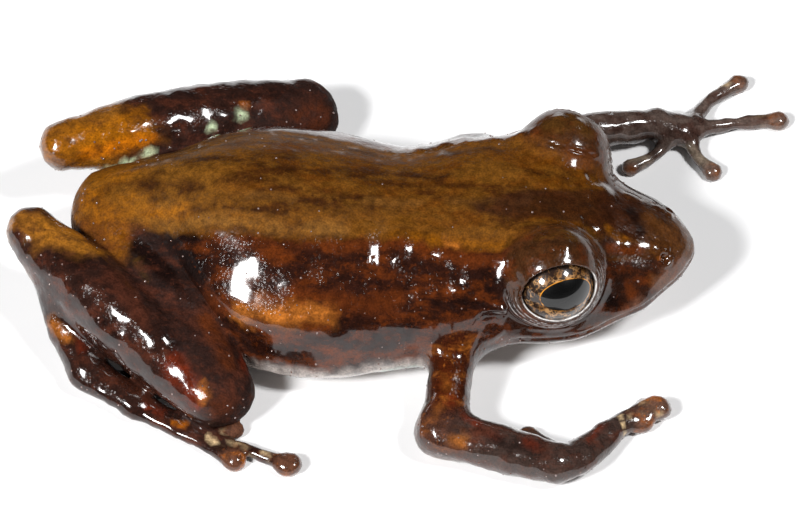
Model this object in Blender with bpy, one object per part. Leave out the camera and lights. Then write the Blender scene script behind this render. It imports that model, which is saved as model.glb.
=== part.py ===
"""A life-size leaf-litter rain frog, crouched with its hands and feet on the floor.

The body is parted where a person would name its parts. Shapes are worked in millimetres
in the frog's own frame (+X to the snout, +Y to its left, +Z up, floor at z = 0), and the
last step sets them to metres with the origin under the middle of the whole frog.
"""

from collections import namedtuple
from math import cos, pi, radians, sin

import bmesh
import bpy
from mathutils import Matrix, Vector

METRES = 0.001
GAP = 0.3
BOX_MIDDLE = Vector((1.15, 0.4, 0.0))

# Head and trunk, as sections across the body from the rump to the snout
Section = namedtuple("Section", "x bow top bottom half_width widest upper_power lower_power")
BODY = (
    Section(-12.0, 0.0, 4.3, 1.3, 1.85, 2.5, 1.8, 2.2),
    Section(-10.8, -0.1, 4.95, 0.5, 2.4, 2.1, 1.75, 2.3),
    Section(-9.5, -0.2, 5.5, 0.2, 2.95, 2.0, 1.7, 2.4),
    Section(-8.0, -0.4, 6.1, 0.0, 3.7, 1.9, 1.7, 2.5),
    Section(-6.7, -0.6, 6.5, -0.05, 4.7, 1.8, 1.7, 2.5),
    Section(-5.2, -0.85, 6.75, -0.1, 5.6, 1.7, 1.7, 2.5),
    Section(-3.0, -1.05, 6.65, -0.1, 6.0, 1.7, 1.7, 2.5),
    Section(-0.9, -1.15, 6.35, -0.1, 5.9, 1.75, 1.7, 2.5),
    Section(0.9, -1.15, 6.1, -0.05, 5.45, 1.85, 1.75, 2.5),
    Section(2.4, -0.95, 6.05, 0.2, 5.35, 1.95, 1.95, 2.5),
    Section(4.0, -0.5, 6.1, 0.6, 5.05, 2.1, 2.3, 2.5),
    Section(5.6, -0.2, 6.15, 0.9, 5.1, 2.15, 2.3, 2.5),
    Section(6.6, -0.05, 6.1, 1.0, 5.0, 2.2, 2.2, 2.5),
    Section(8.0, 0.0, 5.85, 1.1, 4.9, 2.2, 2.0, 2.5),
    Section(9.2, 0.0, 5.45, 1.2, 4.55, 2.2, 1.75, 2.4),
    Section(10.5, 0.0, 4.95, 1.35, 3.7, 2.3, 1.55, 2.3),
    Section(11.9, 0.0, 4.45, 1.6, 2.8, 2.4, 1.6, 2.2),
    Section(12.9, 0.0, 3.95, 1.85, 1.75, 2.6, 1.8, 2.1),
)
RUMP_END = -12.85
SNOUT_END = 13.55
NECK_X = 5.2
RING_STEP = 0.8
END_CAP_ANGLES = (65.0, 42.0, 20.0)
SECTION_ANGLES = (-90, -75, -60, -45, -30, -15, -4, 0, 4, 15, 30, 45, 60, 75, 90)

# Mouth line and nostrils
MOUTH_CORNER_X = 6.3
MOUTH_DEPTH = 0.24
NOSTRIL = Vector((12.45, 1.35, 3.75))
NOSTRIL_RADIUS = 0.22

# Eyes, given on the frog's left and mirrored
LID_CENTRE = Vector((7.85, 3.25, 4.7))
LID_RADIUS = 1.95
LID_DROP = 0.95
EYE_CENTRE = Vector((7.92, 3.55, 4.35))
EYE_RADIUS = 1.65
GAZE = Vector((0.305, 0.817, 0.489)).normalized()
SEAT_DEPTH = 0.35

# Joints of each limb, and the radii of each segment from its root to its end
Limb = namedtuple("Limb", "root bend end")
ARMS = {
    "right": Limb(Vector((4.1, -3.8, 2.7)), Vector((3.75, -9.3, 1.0)), Vector((8.5, -10.4, 0.92))),
    "left": Limb(Vector((4.0, 3.9, 2.8)), Vector((7.2, 7.3, 1.3)), Vector((11.6, 8.75, 0.8))),
}
LEGS = {
    "right": Limb(Vector((-10.3, -1.3, 2.6)), Vector((-5.65, -8.4, 1.4)), Vector((-14.25, -2.05, 3.45))),
    "left": Limb(Vector((-10.4, 1.1, 2.0)), Vector((-3.6, 7.4, 1.4)), Vector((-13.5, 2.85, 3.5))),
}
UPPER_ARM_RADII = (1.15, 1.0, 0.93, 0.92, 0.95)
FOREARM_RADII = (0.95, 0.97, 0.98, 0.93, 0.82)
ARM_SLIMNESS = {"right": 1.0, "left": 0.8}
KNEE_SPREAD = 0.38
THIGH_RADII = {"right": (1.75, 2.0, 1.85, 1.5, 1.2), "left": (1.3, 1.4, 1.4, 1.25, 1.15)}
THIGH_BOW = {"right": (), "left": (Vector((-7.6, 3.3, 1.75)),)}
SHANK_RADII = (1.2, 1.55, 1.68, 1.5, 0.95)
TARSUS_RADII = (0.8, 0.62, 0.6, 0.66, 0.72)

# Hands and feet: each digit runs from its knuckle over a bend to the middle of its pad
Digit = namedtuple("Digit", "knuckle bend tip radius disc")
HANDS = {
    "right": {
        "palm": (Vector((9.5, -9.9, 0.76)), Vector((10.45, -8.6, 0.6))),
        "digits": (
            Digit((9.3, -9.6, 0.5), (8.2, -9.0, 0.34), (7.3, -8.45, 0.26), 0.28, 0.36),
            Digit((10.3, -8.4, 0.5), (11.5, -6.9, 0.3), (12.25, -6.2, 0.26), 0.27, 0.42),
            Digit((10.5, -8.5, 0.6), (11.7, -7.1, 0.6), (12.55, -6.8, 0.5), 0.33, 0.56),
            Digit((10.3, -9.0, 0.5), (11.3, -7.9, 0.4), (12.0, -7.5, 0.34), 0.34, 0.5),
        ),
    },
    "left": {
        "palm": (Vector((12.5, 8.65, 0.62)), Vector((13.2, 8.9, 0.5))),
        "digits": (
            Digit((12.3, 8.3, 0.5), (11.5, 7.2, 0.3), (10.6, 6.6, 0.26), 0.3, 0.36),
            Digit((13.0, 8.5, 0.5), (13.5, 7.4, 0.3), (14.2, 6.7, 0.26), 0.3, 0.42),
            Digit((13.3, 8.9, 0.5), (15.0, 9.5, 0.32), (16.85, 9.9, 0.28), 0.32, 0.5),
            Digit((13.1, 9.2, 0.5), (13.9, 10.8, 0.32), (15.05, 11.9, 0.28), 0.31, 0.46),
        ),
    },
}
FEET = {
    "right": {
        "tarsus": (Vector((-13.4, -3.6, 2.5)), Vector((-12.6, -5.5, 1.45)), Vector((-11.3, -7.3, 0.75))),
        "sole": Vector((-9.1, -8.5, 0.5)),
        "digits": (
            Digit((-10.4, -7.2, 0.4), (-9.6, -6.9, 0.3), (-8.9, -6.6, 0.26), 0.25, 0.32),
            Digit((-9.5, -7.9, 0.4), (-8.2, -7.7, 0.3), (-7.2, -7.3, 0.26), 0.25, 0.34),
            Digit((-9.1, -8.3, 0.4), (-6.9, -9.1, 0.3), (-4.9, -9.35, 0.26), 0.26, 0.4),
            Digit((-9.0, -8.5, 0.45), (-6.1, -9.75, 0.34), (-2.5, -11.0, 0.3), 0.28, 0.56),
            Digit((-9.3, -8.8, 0.45), (-6.5, -10.05, 0.32), (-4.75, -11.0, 0.28), 0.27, 0.48),
        ),
    },
    "left": {
        "tarsus": (Vector((-12.5, 4.2, 2.4)), Vector((-11.7, 5.3, 1.4)), Vector((-10.6, 6.4, 0.75))),
        "sole": Vector((-8.6, 7.5, 0.5)),
        "digits": (
            Digit((-9.7, 6.4, 0.4), (-8.9, 6.1, 0.3), (-8.2, 5.9, 0.26), 0.25, 0.32),
            Digit((-8.9, 6.9, 0.4), (-7.8, 6.7, 0.3), (-6.9, 6.5, 0.26), 0.25, 0.34),
            Digit((-8.6, 7.3, 0.4), (-6.9, 7.7, 0.3), (-5.5, 7.9, 0.26), 0.26, 0.4),
            Digit((-8.5, 7.5, 0.45), (-6.2, 8.5, 0.3), (-3.3, 8.85, 0.28), 0.28, 0.5),
            Digit((-8.8, 7.8, 0.45), (-7.2, 8.6, 0.3), (-5.0, 9.0, 0.28), 0.27, 0.45),
        ),
    },
}
PALM_RADII = (0.8, 0.64)
PALM_FLATTEN = 0.8
SOLE_RADII = (0.7, 0.72, 0.7)
SOLE_FLATTEN = 0.75
DIGIT_STEPS = 5
LIMB_SIDES = 14
LIMB_RINGS = 10
DIGIT_WAIST = 0.1
DISC_FLATTEN = 0.62

# Colour, roughness and metallic value of each kind of surface
FINISHES = {
    "dorsal_skin": ((0.105, 0.052, 0.016, 1.0), 0.25, 0.0),
    "limb_skin": ((0.045, 0.014, 0.007, 1.0), 0.22, 0.0),
    "digit_skin": ((0.07, 0.03, 0.018, 1.0), 0.25, 0.0),
    "eye": ((0.012, 0.008, 0.006, 1.0), 0.05, 0.0),
}


def clear_scene():
    for obj in list(bpy.data.objects):
        bpy.data.objects.remove(obj, do_unlink=True)


def collection_named(name):
    made = bpy.data.collections.new(name)
    bpy.context.scene.collection.children.link(made)
    return made


def finish_named(name):
    colour, roughness, metallic = FINISHES[name]
    material = bpy.data.materials.new(name)
    material.use_nodes = True
    shader = material.node_tree.nodes["Principled BSDF"]
    shader.inputs["Base Color"].default_value = colour
    shader.inputs["Roughness"].default_value = roughness
    shader.inputs["Metallic"].default_value = metallic
    return material


def object_from(shape, name, where):
    """A mesh object from a bmesh, which is used up."""
    bmesh.ops.recalc_face_normals(shape, faces=shape.faces)
    mesh = bpy.data.meshes.new(name)
    shape.to_mesh(mesh)
    shape.free()
    obj = bpy.data.objects.new(name, mesh)
    where.objects.link(obj)
    return obj


def lofted(name, rings, where):
    """A closed skin through rings that have the same number of points."""
    shape = bmesh.new()
    loops = [[shape.verts.new(point) for point in ring] for ring in rings]
    for near, far in zip(loops, loops[1:]):
        for k in range(len(near)):
            after = (k + 1) % len(near)
            shape.faces.new((near[k], near[after], far[after], far[k]))
    shape.faces.new(loops[0])
    shape.faces.new(loops[-1])
    return object_from(shape, name, where)


def ball(name, centre, radius, where, segments=20, rings=12, stretch=(1, 1, 1)):
    shape = bmesh.new()
    bmesh.ops.create_uvsphere(shape, u_segments=segments, v_segments=rings, radius=radius)
    bmesh.ops.scale(shape, vec=stretch, verts=shape.verts)
    bmesh.ops.translate(shape, vec=centre, verts=shape.verts)
    return object_from(shape, name, where)


def keep_side(obj, point, normal):
    """Cuts the object at a plane, keeps what lies behind its normal, and closes the cut."""
    shape = bmesh.new()
    shape.from_mesh(obj.data)
    everything = shape.verts[:] + shape.edges[:] + shape.faces[:]
    bmesh.ops.bisect_plane(
        shape, geom=everything, dist=1e-5, plane_co=point, plane_no=normal, clear_outer=True
    )
    bmesh.ops.holes_fill(shape, edges=[e for e in shape.edges if e.is_boundary])
    bmesh.ops.recalc_face_normals(shape, faces=shape.faces)
    shape.to_mesh(obj.data)
    shape.free()


def keep_largest(obj):
    """Drops every closed surface of the object but the largest."""
    shape = bmesh.new()
    shape.from_mesh(obj.data)
    left = set(shape.verts)
    islands = []
    while left:
        island = {left.pop()}
        edge = list(island)
        while edge:
            for link in edge.pop().link_edges:
                for vert in link.verts:
                    if vert in left:
                        left.discard(vert)
                        island.add(vert)
                        edge.append(vert)
        islands.append(island)
    for island in sorted(islands, key=len)[:-1]:
        bmesh.ops.delete(shape, geom=list(island), context="VERTS")
    shape.to_mesh(obj.data)
    shape.free()


def apply_modifiers(obj):
    graph = bpy.context.evaluated_depsgraph_get()
    mesh = bpy.data.meshes.new_from_object(obj.evaluated_get(graph))
    obj.modifiers.clear()
    obj.data = mesh


def cut(obj, cutters):
    for cutter in cutters:
        cutter.hide_render = True
        cutter.display_type = "WIRE"
        boolean = obj.modifiers.new("cut", "BOOLEAN")
        boolean.operation = "DIFFERENCE"
        boolean.solver = "EXACT"
        boolean.object = cutter
    apply_modifiers(obj)
    keep_largest(obj)


def fuse(obj, pieces):
    """Joins closed pieces to the object, and removes them."""
    group = collection_named(obj.name + "_pieces")
    for piece in pieces:
        for home in list(piece.users_collection):
            home.objects.unlink(piece)
        group.objects.link(piece)
    boolean = obj.modifiers.new("fuse", "BOOLEAN")
    boolean.operation = "UNION"
    boolean.solver = "EXACT"
    boolean.operand_type = "COLLECTION"
    boolean.collection = group
    apply_modifiers(obj)
    for piece in list(group.objects):
        bpy.data.objects.remove(piece, do_unlink=True)
    bpy.data.collections.remove(group)
    keep_largest(obj)


def along(values, places, at):
    """Reads a smooth curve through values given at rising places."""
    last = len(places) - 1
    k = max(0, min(last - 1, sum(place <= at for place in places) - 1))

    def slope(i):
        low, high = max(0, i - 1), min(last, i + 1)
        return (values[high] - values[low]) / (places[high] - places[low])

    span = places[k + 1] - places[k]
    t = (at - places[k]) / span
    return (
        (2 * t**3 - 3 * t**2 + 1) * values[k]
        + (t**3 - 2 * t**2 + t) * span * slope(k)
        + (3 * t**2 - 2 * t**3) * values[k + 1]
        + (t**3 - t**2) * span * slope(k + 1)
    )


def body_section(x):
    """The body's section at x, read between the named ones."""
    places = [section.x for section in BODY]
    at = max(places[0], min(places[-1], x))
    read = [along([section[field] for section in BODY], places, at) for field in range(1, len(BODY[0]))]
    return Section(x, *read)


def body_ring(x, shrink=1.0, grow=0.0):
    """Points round the body at x, from the belly up the frog's left side and down its right."""
    section = body_section(x)
    points = []
    upward = [radians(angle) for angle in SECTION_ANGLES]
    groove = MOUTH_DEPTH if x > MOUTH_CORNER_X else 0.0
    for side, turns in ((1, upward), (-1, upward[-2:0:-1])):
        for turn in turns:
            power = section.upper_power if turn >= 0 else section.lower_power
            reach = section.top - section.widest if turn >= 0 else section.widest - section.bottom
            out = (section.half_width + grow) * cos(turn) ** (2 / power) if cos(turn) > 1e-6 else 0.0
            out -= groove if turn == 0 else 0.0
            rise = (reach + grow) * abs(sin(turn)) ** (2 / power) * (1 if turn >= 0 else -1)
            points.append((x, section.bow + side * out * shrink, section.widest + rise * shrink))
    return points


def body_loft(name, start, end, where, grow=0.0):
    """The body's skin from start to end, rounded off past the last named section at either end."""
    first, last = BODY[0].x, BODY[-1].x
    from_x, to_x = max(start, first), min(end, last)
    count = round((to_x - from_x) / RING_STEP)
    rings = [body_ring(from_x + (to_x - from_x) * k / count, grow=grow) for k in range(count + 1)]
    if start < first:
        caps = [radians(angle) for angle in END_CAP_ANGLES]
        rings = [body_ring(first + (start - first) * cos(a), sin(a), grow) for a in reversed(caps)] + rings
    if end > last:
        caps = [radians(angle) for angle in END_CAP_ANGLES]
        rings += [body_ring(last + (end - last) * cos(a), sin(a), grow) for a in caps]
    return lofted(name, rings, where)


def smooth_path(points, t):
    """The point at t of the way, 0 to 1, along a smooth curve through points."""
    places = [k / (len(points) - 1) for k in range(len(points))]
    return Vector([along([point[axis] for point in points], places, t) for axis in range(3)])


def limb_loft(name, points, radii, where, flatten=1.0, grow=0.0):
    """A round-ended fleshy tube through points, with its radius read along radii."""
    places = [k / (len(radii) - 1) for k in range(len(radii))]
    step = 1e-3
    rings = []

    def ring(centre, tangent, radius, shrink=1.0):
        across = tangent.cross(Vector((0, 0, 1))).normalized()
        above = across.cross(tangent).normalized()
        turns = [2 * pi * k / LIMB_SIDES for k in range(LIMB_SIDES)]
        wide, tall = (radius + grow) * shrink, (radius * flatten + grow) * shrink
        rings.append([centre + across * wide * cos(turn) + above * tall * sin(turn) for turn in turns])

    def tangent_at(t):
        low, high = max(0.0, t - step), min(1.0, t + step)
        return (smooth_path(points, high) - smooth_path(points, low)).normalized()

    for angle in reversed(END_CAP_ANGLES):
        back = -tangent_at(0) * (radii[0] + grow) * cos(radians(angle))
        ring(smooth_path(points, 0) + back, tangent_at(0), radii[0], sin(radians(angle)))
    for k in range(LIMB_RINGS):
        t = k / (LIMB_RINGS - 1)
        ring(smooth_path(points, t), tangent_at(t), along(radii, places, t))
    for angle in END_CAP_ANGLES:
        on = tangent_at(1) * (radii[-1] + grow) * cos(radians(angle))
        ring(smooth_path(points, 1) + on, tangent_at(1), radii[-1], sin(radians(angle)))
    return lofted(name, rings, where)


def mitre_normal(towards_first, towards_second):
    """The normal, pointing to the second, of the plane that halves the angle of two segments."""
    return (towards_second.normalized() - towards_first.normalized()).normalized()


def mitre(first, second, joint, towards_first, towards_second):
    """Parts two segments that meet at a joint by a gap on the plane that halves their angle."""
    normal = mitre_normal(towards_first, towards_second)
    keep_side(first, joint - normal * GAP / 2, normal)
    keep_side(second, joint + normal * GAP / 2, -normal)


def digit(name, sizes, where):
    """One finger or toe: a tapering tube as a curve made a mesh, with a flattened pad at its tip."""
    curve = bpy.data.curves.new(name, "CURVE")
    curve.dimensions = "3D"
    curve.bevel_depth = 1.0
    curve.bevel_resolution = 2
    curve.use_fill_caps = True
    spline = curve.splines.new("POLY")
    spline.points.add(DIGIT_STEPS)
    for k in range(DIGIT_STEPS + 1):
        t = k / DIGIT_STEPS
        spline.points[k].co = (*smooth_path((sizes.knuckle, sizes.bend, sizes.tip), t), 1.0)
        spline.points[k].radius = sizes.radius * (1 + DIGIT_WAIST * cos(2 * pi * t))
    guide = bpy.data.objects.new(name + "_path", curve)
    where.objects.link(guide)
    graph = bpy.context.evaluated_depsgraph_get()
    shape = bmesh.new()
    shape.from_mesh(bpy.data.meshes.new_from_object(guide.evaluated_get(graph)))
    bmesh.ops.remove_doubles(shape, verts=shape.verts, dist=1e-4)
    tube = object_from(shape, name, where)
    bpy.data.objects.remove(guide, do_unlink=True)
    pad = ball(name + "_pad", sizes.tip, sizes.disc, where, 12, 7, (1, 1, DISC_FLATTEN))
    return [tube, pad]


def head_node(parts, cutters):
    head = body_loft("head", NECK_X + GAP / 2, SNOUT_END, parts)
    lids = [ball("lid", mirrored(LID_CENTRE, side), LID_RADIUS, parts, 24, 14) for side in (1, -1)]
    fuse(head, lids)
    tools = []
    for side in (1, -1):
        gaze = mirrored(GAZE, side)
        seat = bmesh.new()
        reach = 3.0
        middle = mirrored(EYE_CENTRE, side) + gaze * (SEAT_DEPTH + reach / 2)
        turn = gaze.to_track_quat("Z", "Y").to_matrix().to_4x4()
        bmesh.ops.create_cone(
            seat,
            cap_ends=True,
            segments=28,
            radius1=EYE_RADIUS + GAP,
            radius2=EYE_RADIUS + GAP,
            depth=reach,
            matrix=Matrix.Translation(middle) @ turn,
        )
        seat = object_from(seat, "eye_seat_cutter", cutters)
        lid_edge = lid_upward(side)
        keep_side(seat, mirrored(EYE_CENTRE, side) + lid_edge * (LID_DROP + GAP), lid_edge)
        tools.append(seat)
        tools.append(ball("nostril_cutter", mirrored(NOSTRIL, side), NOSTRIL_RADIUS, cutters, 10, 6))
    cut(head, tools)
    return head


def mirrored(vector, side):
    return Vector((vector[0], vector[1] * side, vector[2]))


def lid_upward(side):
    """The direction across the gaze, up to the edge of the upper lid."""
    gaze = mirrored(GAZE, side)
    return (Vector((0, 0, 1)) - gaze * gaze.z).normalized()


def eye_node(name, side, parts):
    centre, gaze, lid_edge = mirrored(EYE_CENTRE, side), mirrored(GAZE, side), lid_upward(side)
    eye = ball(name, centre, EYE_RADIUS, parts, 24, 16)
    keep_side(eye, centre + gaze * (SEAT_DEPTH + GAP), -gaze)
    keep_side(eye, centre + lid_edge * LID_DROP, lid_edge)
    return eye


def arm_nodes(side, body_cutter, parts):
    limb = ARMS[side]
    upper_radii, forearm_radii = (
        [radius * ARM_SLIMNESS[side] for radius in radii] for radii in (UPPER_ARM_RADII, FOREARM_RADII)
    )
    upper = limb_loft("upper_arm_" + side, (limb.root, limb.bend), upper_radii, parts)
    forearm = limb_loft("forearm_" + side, (limb.bend, limb.end), forearm_radii, parts)
    mitre(upper, forearm, limb.bend, limb.root - limb.bend, limb.end - limb.bend)
    sizes = HANDS[side]
    hand = limb_loft(
        "hand_" + side, (limb.end, *sizes["palm"]), (forearm_radii[-1], *PALM_RADII), parts, PALM_FLATTEN
    )
    mitre(forearm, hand, limb.end, limb.bend - limb.end, sizes["palm"][0] - limb.end)
    pieces = [p for k, d in enumerate(sizes["digits"]) for p in digit(f"finger_{side}_{k + 1}", d, parts)]
    fuse(hand, pieces)
    cut(upper, [body_cutter])
    return upper, forearm, hand


def leg_nodes(side, body_cutter, parts, cutters):
    limb = LEGS[side]
    sizes = FEET[side]
    apart = mitre_normal(limb.root - limb.bend, limb.end - limb.bend) * KNEE_SPREAD
    thigh_path = (limb.root, *THIGH_BOW[side], limb.bend - apart)
    shank_path = (limb.bend + apart, limb.end)
    thigh = limb_loft("thigh_" + side, thigh_path, THIGH_RADII[side], parts)
    shank = limb_loft("shank_" + side, shank_path, SHANK_RADII, parts)
    mitre(thigh, shank, limb.bend, limb.root - limb.bend, limb.end - limb.bend)
    foot = limb_loft("foot_" + side, (limb.end, *sizes["tarsus"]), TARSUS_RADII, parts)
    mitre(shank, foot, limb.end, limb.bend - limb.end, sizes["tarsus"][0] - limb.end)
    sole = limb_loft(
        "sole_" + side, (sizes["tarsus"][-1], sizes["sole"]), SOLE_RADII, parts, SOLE_FLATTEN
    )
    pieces = [p for k, d in enumerate(sizes["digits"]) for p in digit(f"toe_{side}_{k + 1}", d, parts)]
    fuse(foot, [sole] + pieces)
    clear_of_shank = limb_loft("shank_cutter_" + side, shank_path, SHANK_RADII, cutters, grow=GAP)
    clear_of_thigh = limb_loft("thigh_cutter_" + side, thigh_path, THIGH_RADII[side], cutters, grow=GAP)
    keep_side(clear_of_shank, limb.end, mitre_normal(limb.bend - limb.end, sizes["tarsus"][0] - limb.end))
    cut(foot, [clear_of_shank, clear_of_thigh, body_cutter])
    cut(thigh, [body_cutter])
    cut(shank, [body_cutter])
    return thigh, shank, foot


def finish(obj, material, root, holder):
    """Rests the piece on the floor, sets it to metres with its origin at its root, and paints it."""
    lowest = min(vert.co.z for vert in obj.data.vertices)
    if lowest < 0:
        keep_side(obj, Vector((0, 0, 0)), Vector((0, 0, -1)))
    place = (Vector(root) - BOX_MIDDLE) * METRES
    obj.data.transform(Matrix.Translation(-place) @ Matrix.Scale(METRES, 4) @ Matrix.Translation(-BOX_MIDDLE))
    obj.location = place
    obj.parent = holder
    obj.data.materials.clear()
    obj.data.materials.append(material)
    obj.data.shade_smooth()
    obj.data.set_sharp_from_angle(angle=radians(50))


def build():
    clear_scene()
    parts = collection_named("rain_frog")
    cutters = collection_named("cutters")
    cutters.hide_render = True
    holder = bpy.data.objects.new("rain_frog", None)
    parts.objects.link(holder)
    materials = {name: finish_named(name) for name in FINISHES}
    torso = body_loft("torso", RUMP_END, NECK_X - GAP / 2, parts)
    body_cutter = body_loft("body_cutter", RUMP_END - GAP, SNOUT_END + GAP, cutters, grow=GAP)
    head = head_node(parts, cutters)
    finish(torso, materials["dorsal_skin"], (0, 0, 0), holder)
    finish(head, materials["dorsal_skin"], (NECK_X, 0, 3), holder)
    for side, sign in (("right", -1), ("left", 1)):
        eye = eye_node("eye_" + side, sign, parts)
        finish(eye, materials["eye"], mirrored(EYE_CENTRE, sign), holder)
        upper, forearm, hand = arm_nodes(side, body_cutter, parts)
        thigh, shank, foot = leg_nodes(side, body_cutter, parts, cutters)
        arm, leg = ARMS[side], LEGS[side]
        finish(upper, materials["limb_skin"], arm.root, holder)
        finish(forearm, materials["limb_skin"], arm.bend, holder)
        finish(hand, materials["digit_skin"], arm.end, holder)
        finish(thigh, materials["limb_skin"], leg.root, holder)
        finish(shank, materials["limb_skin"], leg.bend, holder)
        finish(foot, materials["digit_skin"], leg.end, holder)


build()
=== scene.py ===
"""Looks of the life-size leaf-litter rain frog: a wet skin over its solids, grains on it, and two eyes.

Shapes are worked in millimetres in the frog's own frame, as in the part's source (+X to the snout,
+Y to its left, +Z up, floor at z = 0), and set to metres in the row frame at the end.
"""

from collections import namedtuple
from math import cos, pi, radians, sin

import bmesh
import bpy
import numpy as np
import openvdb
from mathutils import Matrix, Vector, noise


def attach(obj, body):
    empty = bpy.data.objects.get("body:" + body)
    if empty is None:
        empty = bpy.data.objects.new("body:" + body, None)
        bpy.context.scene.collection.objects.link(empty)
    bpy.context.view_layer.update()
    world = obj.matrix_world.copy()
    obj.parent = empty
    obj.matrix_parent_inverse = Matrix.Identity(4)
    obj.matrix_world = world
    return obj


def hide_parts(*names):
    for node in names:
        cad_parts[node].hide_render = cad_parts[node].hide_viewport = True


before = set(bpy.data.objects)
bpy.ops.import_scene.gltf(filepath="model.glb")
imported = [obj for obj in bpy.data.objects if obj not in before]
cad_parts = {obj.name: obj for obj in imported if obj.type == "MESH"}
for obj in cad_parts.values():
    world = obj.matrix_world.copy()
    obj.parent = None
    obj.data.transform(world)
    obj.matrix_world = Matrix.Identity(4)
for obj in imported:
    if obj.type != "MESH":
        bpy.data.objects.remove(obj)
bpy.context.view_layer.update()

# From the frog's own frame in millimetres to the row frame in metres
METRES = 0.001
BOX_MIDDLE = np.array((1.15, 0.4, 0.0))

# Head and trunk, as sections across the body from the rump to the snout
Section = namedtuple("Section", "x bow top bottom half_width widest upper_power lower_power")
BODY = (
    Section(-12.85, 0.0, 3.75, 1.75, 1.4, 2.75, 1.8, 2.2),
    Section(-12.0, 0.0, 4.3, 1.3, 1.85, 2.5, 1.8, 2.2),
    Section(-10.8, -0.1, 4.95, 0.5, 2.4, 2.1, 1.75, 2.3),
    Section(-9.5, -0.2, 5.5, 0.2, 2.95, 2.0, 1.7, 2.4),
    Section(-8.0, -0.4, 6.1, 0.0, 3.7, 1.9, 1.7, 2.5),
    Section(-6.7, -0.6, 6.5, -0.05, 4.7, 1.8, 1.7, 2.5),
    Section(-5.2, -0.85, 6.75, -0.1, 5.6, 1.7, 1.7, 2.5),
    Section(-3.0, -1.05, 6.65, -0.1, 6.0, 1.7, 1.7, 2.5),
    Section(-0.9, -1.15, 6.35, -0.1, 5.9, 1.75, 1.7, 2.5),
    Section(0.9, -1.15, 6.1, -0.05, 5.45, 1.85, 1.75, 2.5),
    Section(2.4, -0.95, 6.05, 0.2, 5.35, 1.95, 1.95, 2.5),
    Section(4.0, -0.5, 6.1, 0.6, 5.05, 2.1, 2.3, 2.5),
    Section(5.6, -0.2, 6.15, 0.9, 5.1, 2.15, 2.3, 2.5),
    Section(6.6, -0.05, 6.1, 1.0, 5.0, 2.2, 2.2, 2.5),
    Section(8.0, 0.0, 5.85, 1.1, 4.9, 2.2, 2.0, 2.5),
    Section(9.2, 0.0, 5.45, 1.2, 4.55, 2.2, 1.75, 2.4),
    Section(10.5, 0.0, 4.95, 1.35, 3.7, 2.3, 1.55, 2.3),
    Section(11.9, 0.0, 4.45, 1.6, 2.8, 2.4, 1.6, 2.2),
    Section(12.9, 0.0, 3.95, 1.85, 1.75, 2.6, 1.8, 2.1),
    Section(13.8, 0.0, 3.3, 2.2, 0.8, 2.75, 1.9, 2.0),
)

# Where the rump and the snout start to round off, where they end, and where the mouth's corner is
RUMP_CAP = -12.0
SNOUT_CAP = 12.9
RUMP_END = -12.85
SNOUT_END = 13.8
MOUTH_CORNER_X = 5.9

# Eyes and nostrils, given on the frog's left and mirrored
NOSTRIL = np.array((12.45, 1.35, 3.75))
LID_CENTRE = np.array((7.85, 3.25, 4.7))
LID_RADIUS = 1.95
EYE_CENTRE = np.array((7.92, 3.55, 4.35))
EYE_RADIUS = 1.72
EYE_SINK = 0.07
OPENING_CENTRE = (-0.03, 0.0)
OPENING_HALF = (1.56, 1.29)
GAZE = np.array((0.305, 0.817, 0.489)) / np.linalg.norm((0.305, 0.817, 0.489))

# Joints of each limb, and the radii of each segment from its root to its end
Limb = namedtuple("Limb", "root bend end")
ARMS = {
    "right": Limb((4.1, -3.8, 2.7), (3.75, -9.3, 1.0), (8.5, -10.4, 0.92)),
    "left": Limb((4.0, 3.9, 2.8), (7.2, 7.3, 1.3), (11.6, 8.75, 0.8)),
}
LEGS = {
    "right": Limb((-10.3, -1.3, 2.6), (-5.65, -8.4, 1.4), (-14.25, -2.05, 3.45)),
    "left": Limb((-10.4, 1.1, 2.0), (-3.6, 7.4, 1.4), (-13.5, 2.85, 3.5)),
}
UPPER_ARM_RADII = (1.15, 1.0, 0.93, 0.92, 0.95)
FOREARM_RADII = (0.95, 0.97, 0.98, 0.93, 0.82)
ARM_SLIMNESS = {"right": 1.0, "left": 0.8}
KNEE_SPREAD = 0.38
THIGH_RADII = {"right": (1.75, 2.0, 1.85, 1.5, 1.2), "left": (1.3, 1.4, 1.4, 1.25, 1.15)}
THIGH_BOW = {"right": (), "left": ((-7.6, 3.3, 1.75),)}
SHANK_RADII = (1.2, 1.55, 1.68, 1.5, 0.95)
TARSUS_RADII = (0.8, 0.62, 0.6, 0.66, 0.72)

# Hands and feet: each digit runs from its knuckle over a bend to the middle of its pad
Digit = namedtuple("Digit", "knuckle bend tip radius disc")
HANDS = {
    "right": {
        "palm": ((9.5, -9.9, 0.76), (10.45, -8.6, 0.6)),
        "digits": (
            Digit((9.3, -9.6, 0.5), (8.2, -9.0, 0.34), (7.3, -8.45, 0.26), 0.28, 0.36),
            Digit((10.3, -8.4, 0.5), (11.3, -7.15, 0.3), (12.0, -6.55, 0.26), 0.27, 0.38),
            Digit((10.5, -8.5, 0.6), (11.7, -7.1, 0.6), (12.6, -6.8, 0.5), 0.33, 0.58),
            Digit((10.3, -9.0, 0.5), (11.3, -7.9, 0.4), (12.0, -7.5, 0.34), 0.34, 0.5),
        ),
    },
    "left": {
        "palm": ((12.5, 8.65, 0.62), (13.2, 8.9, 0.5)),
        "digits": (
            Digit((12.3, 8.3, 0.5), (11.5, 7.2, 0.3), (10.6, 6.6, 0.26), 0.3, 0.36),
            Digit((13.0, 8.5, 0.5), (13.5, 7.4, 0.3), (14.2, 6.7, 0.26), 0.3, 0.42),
            Digit((13.3, 8.9, 0.5), (15.0, 9.5, 0.32), (16.85, 9.9, 0.28), 0.32, 0.5),
            Digit((13.1, 9.2, 0.5), (13.9, 10.8, 0.32), (15.05, 11.9, 0.28), 0.31, 0.46),
        ),
    },
}
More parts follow.
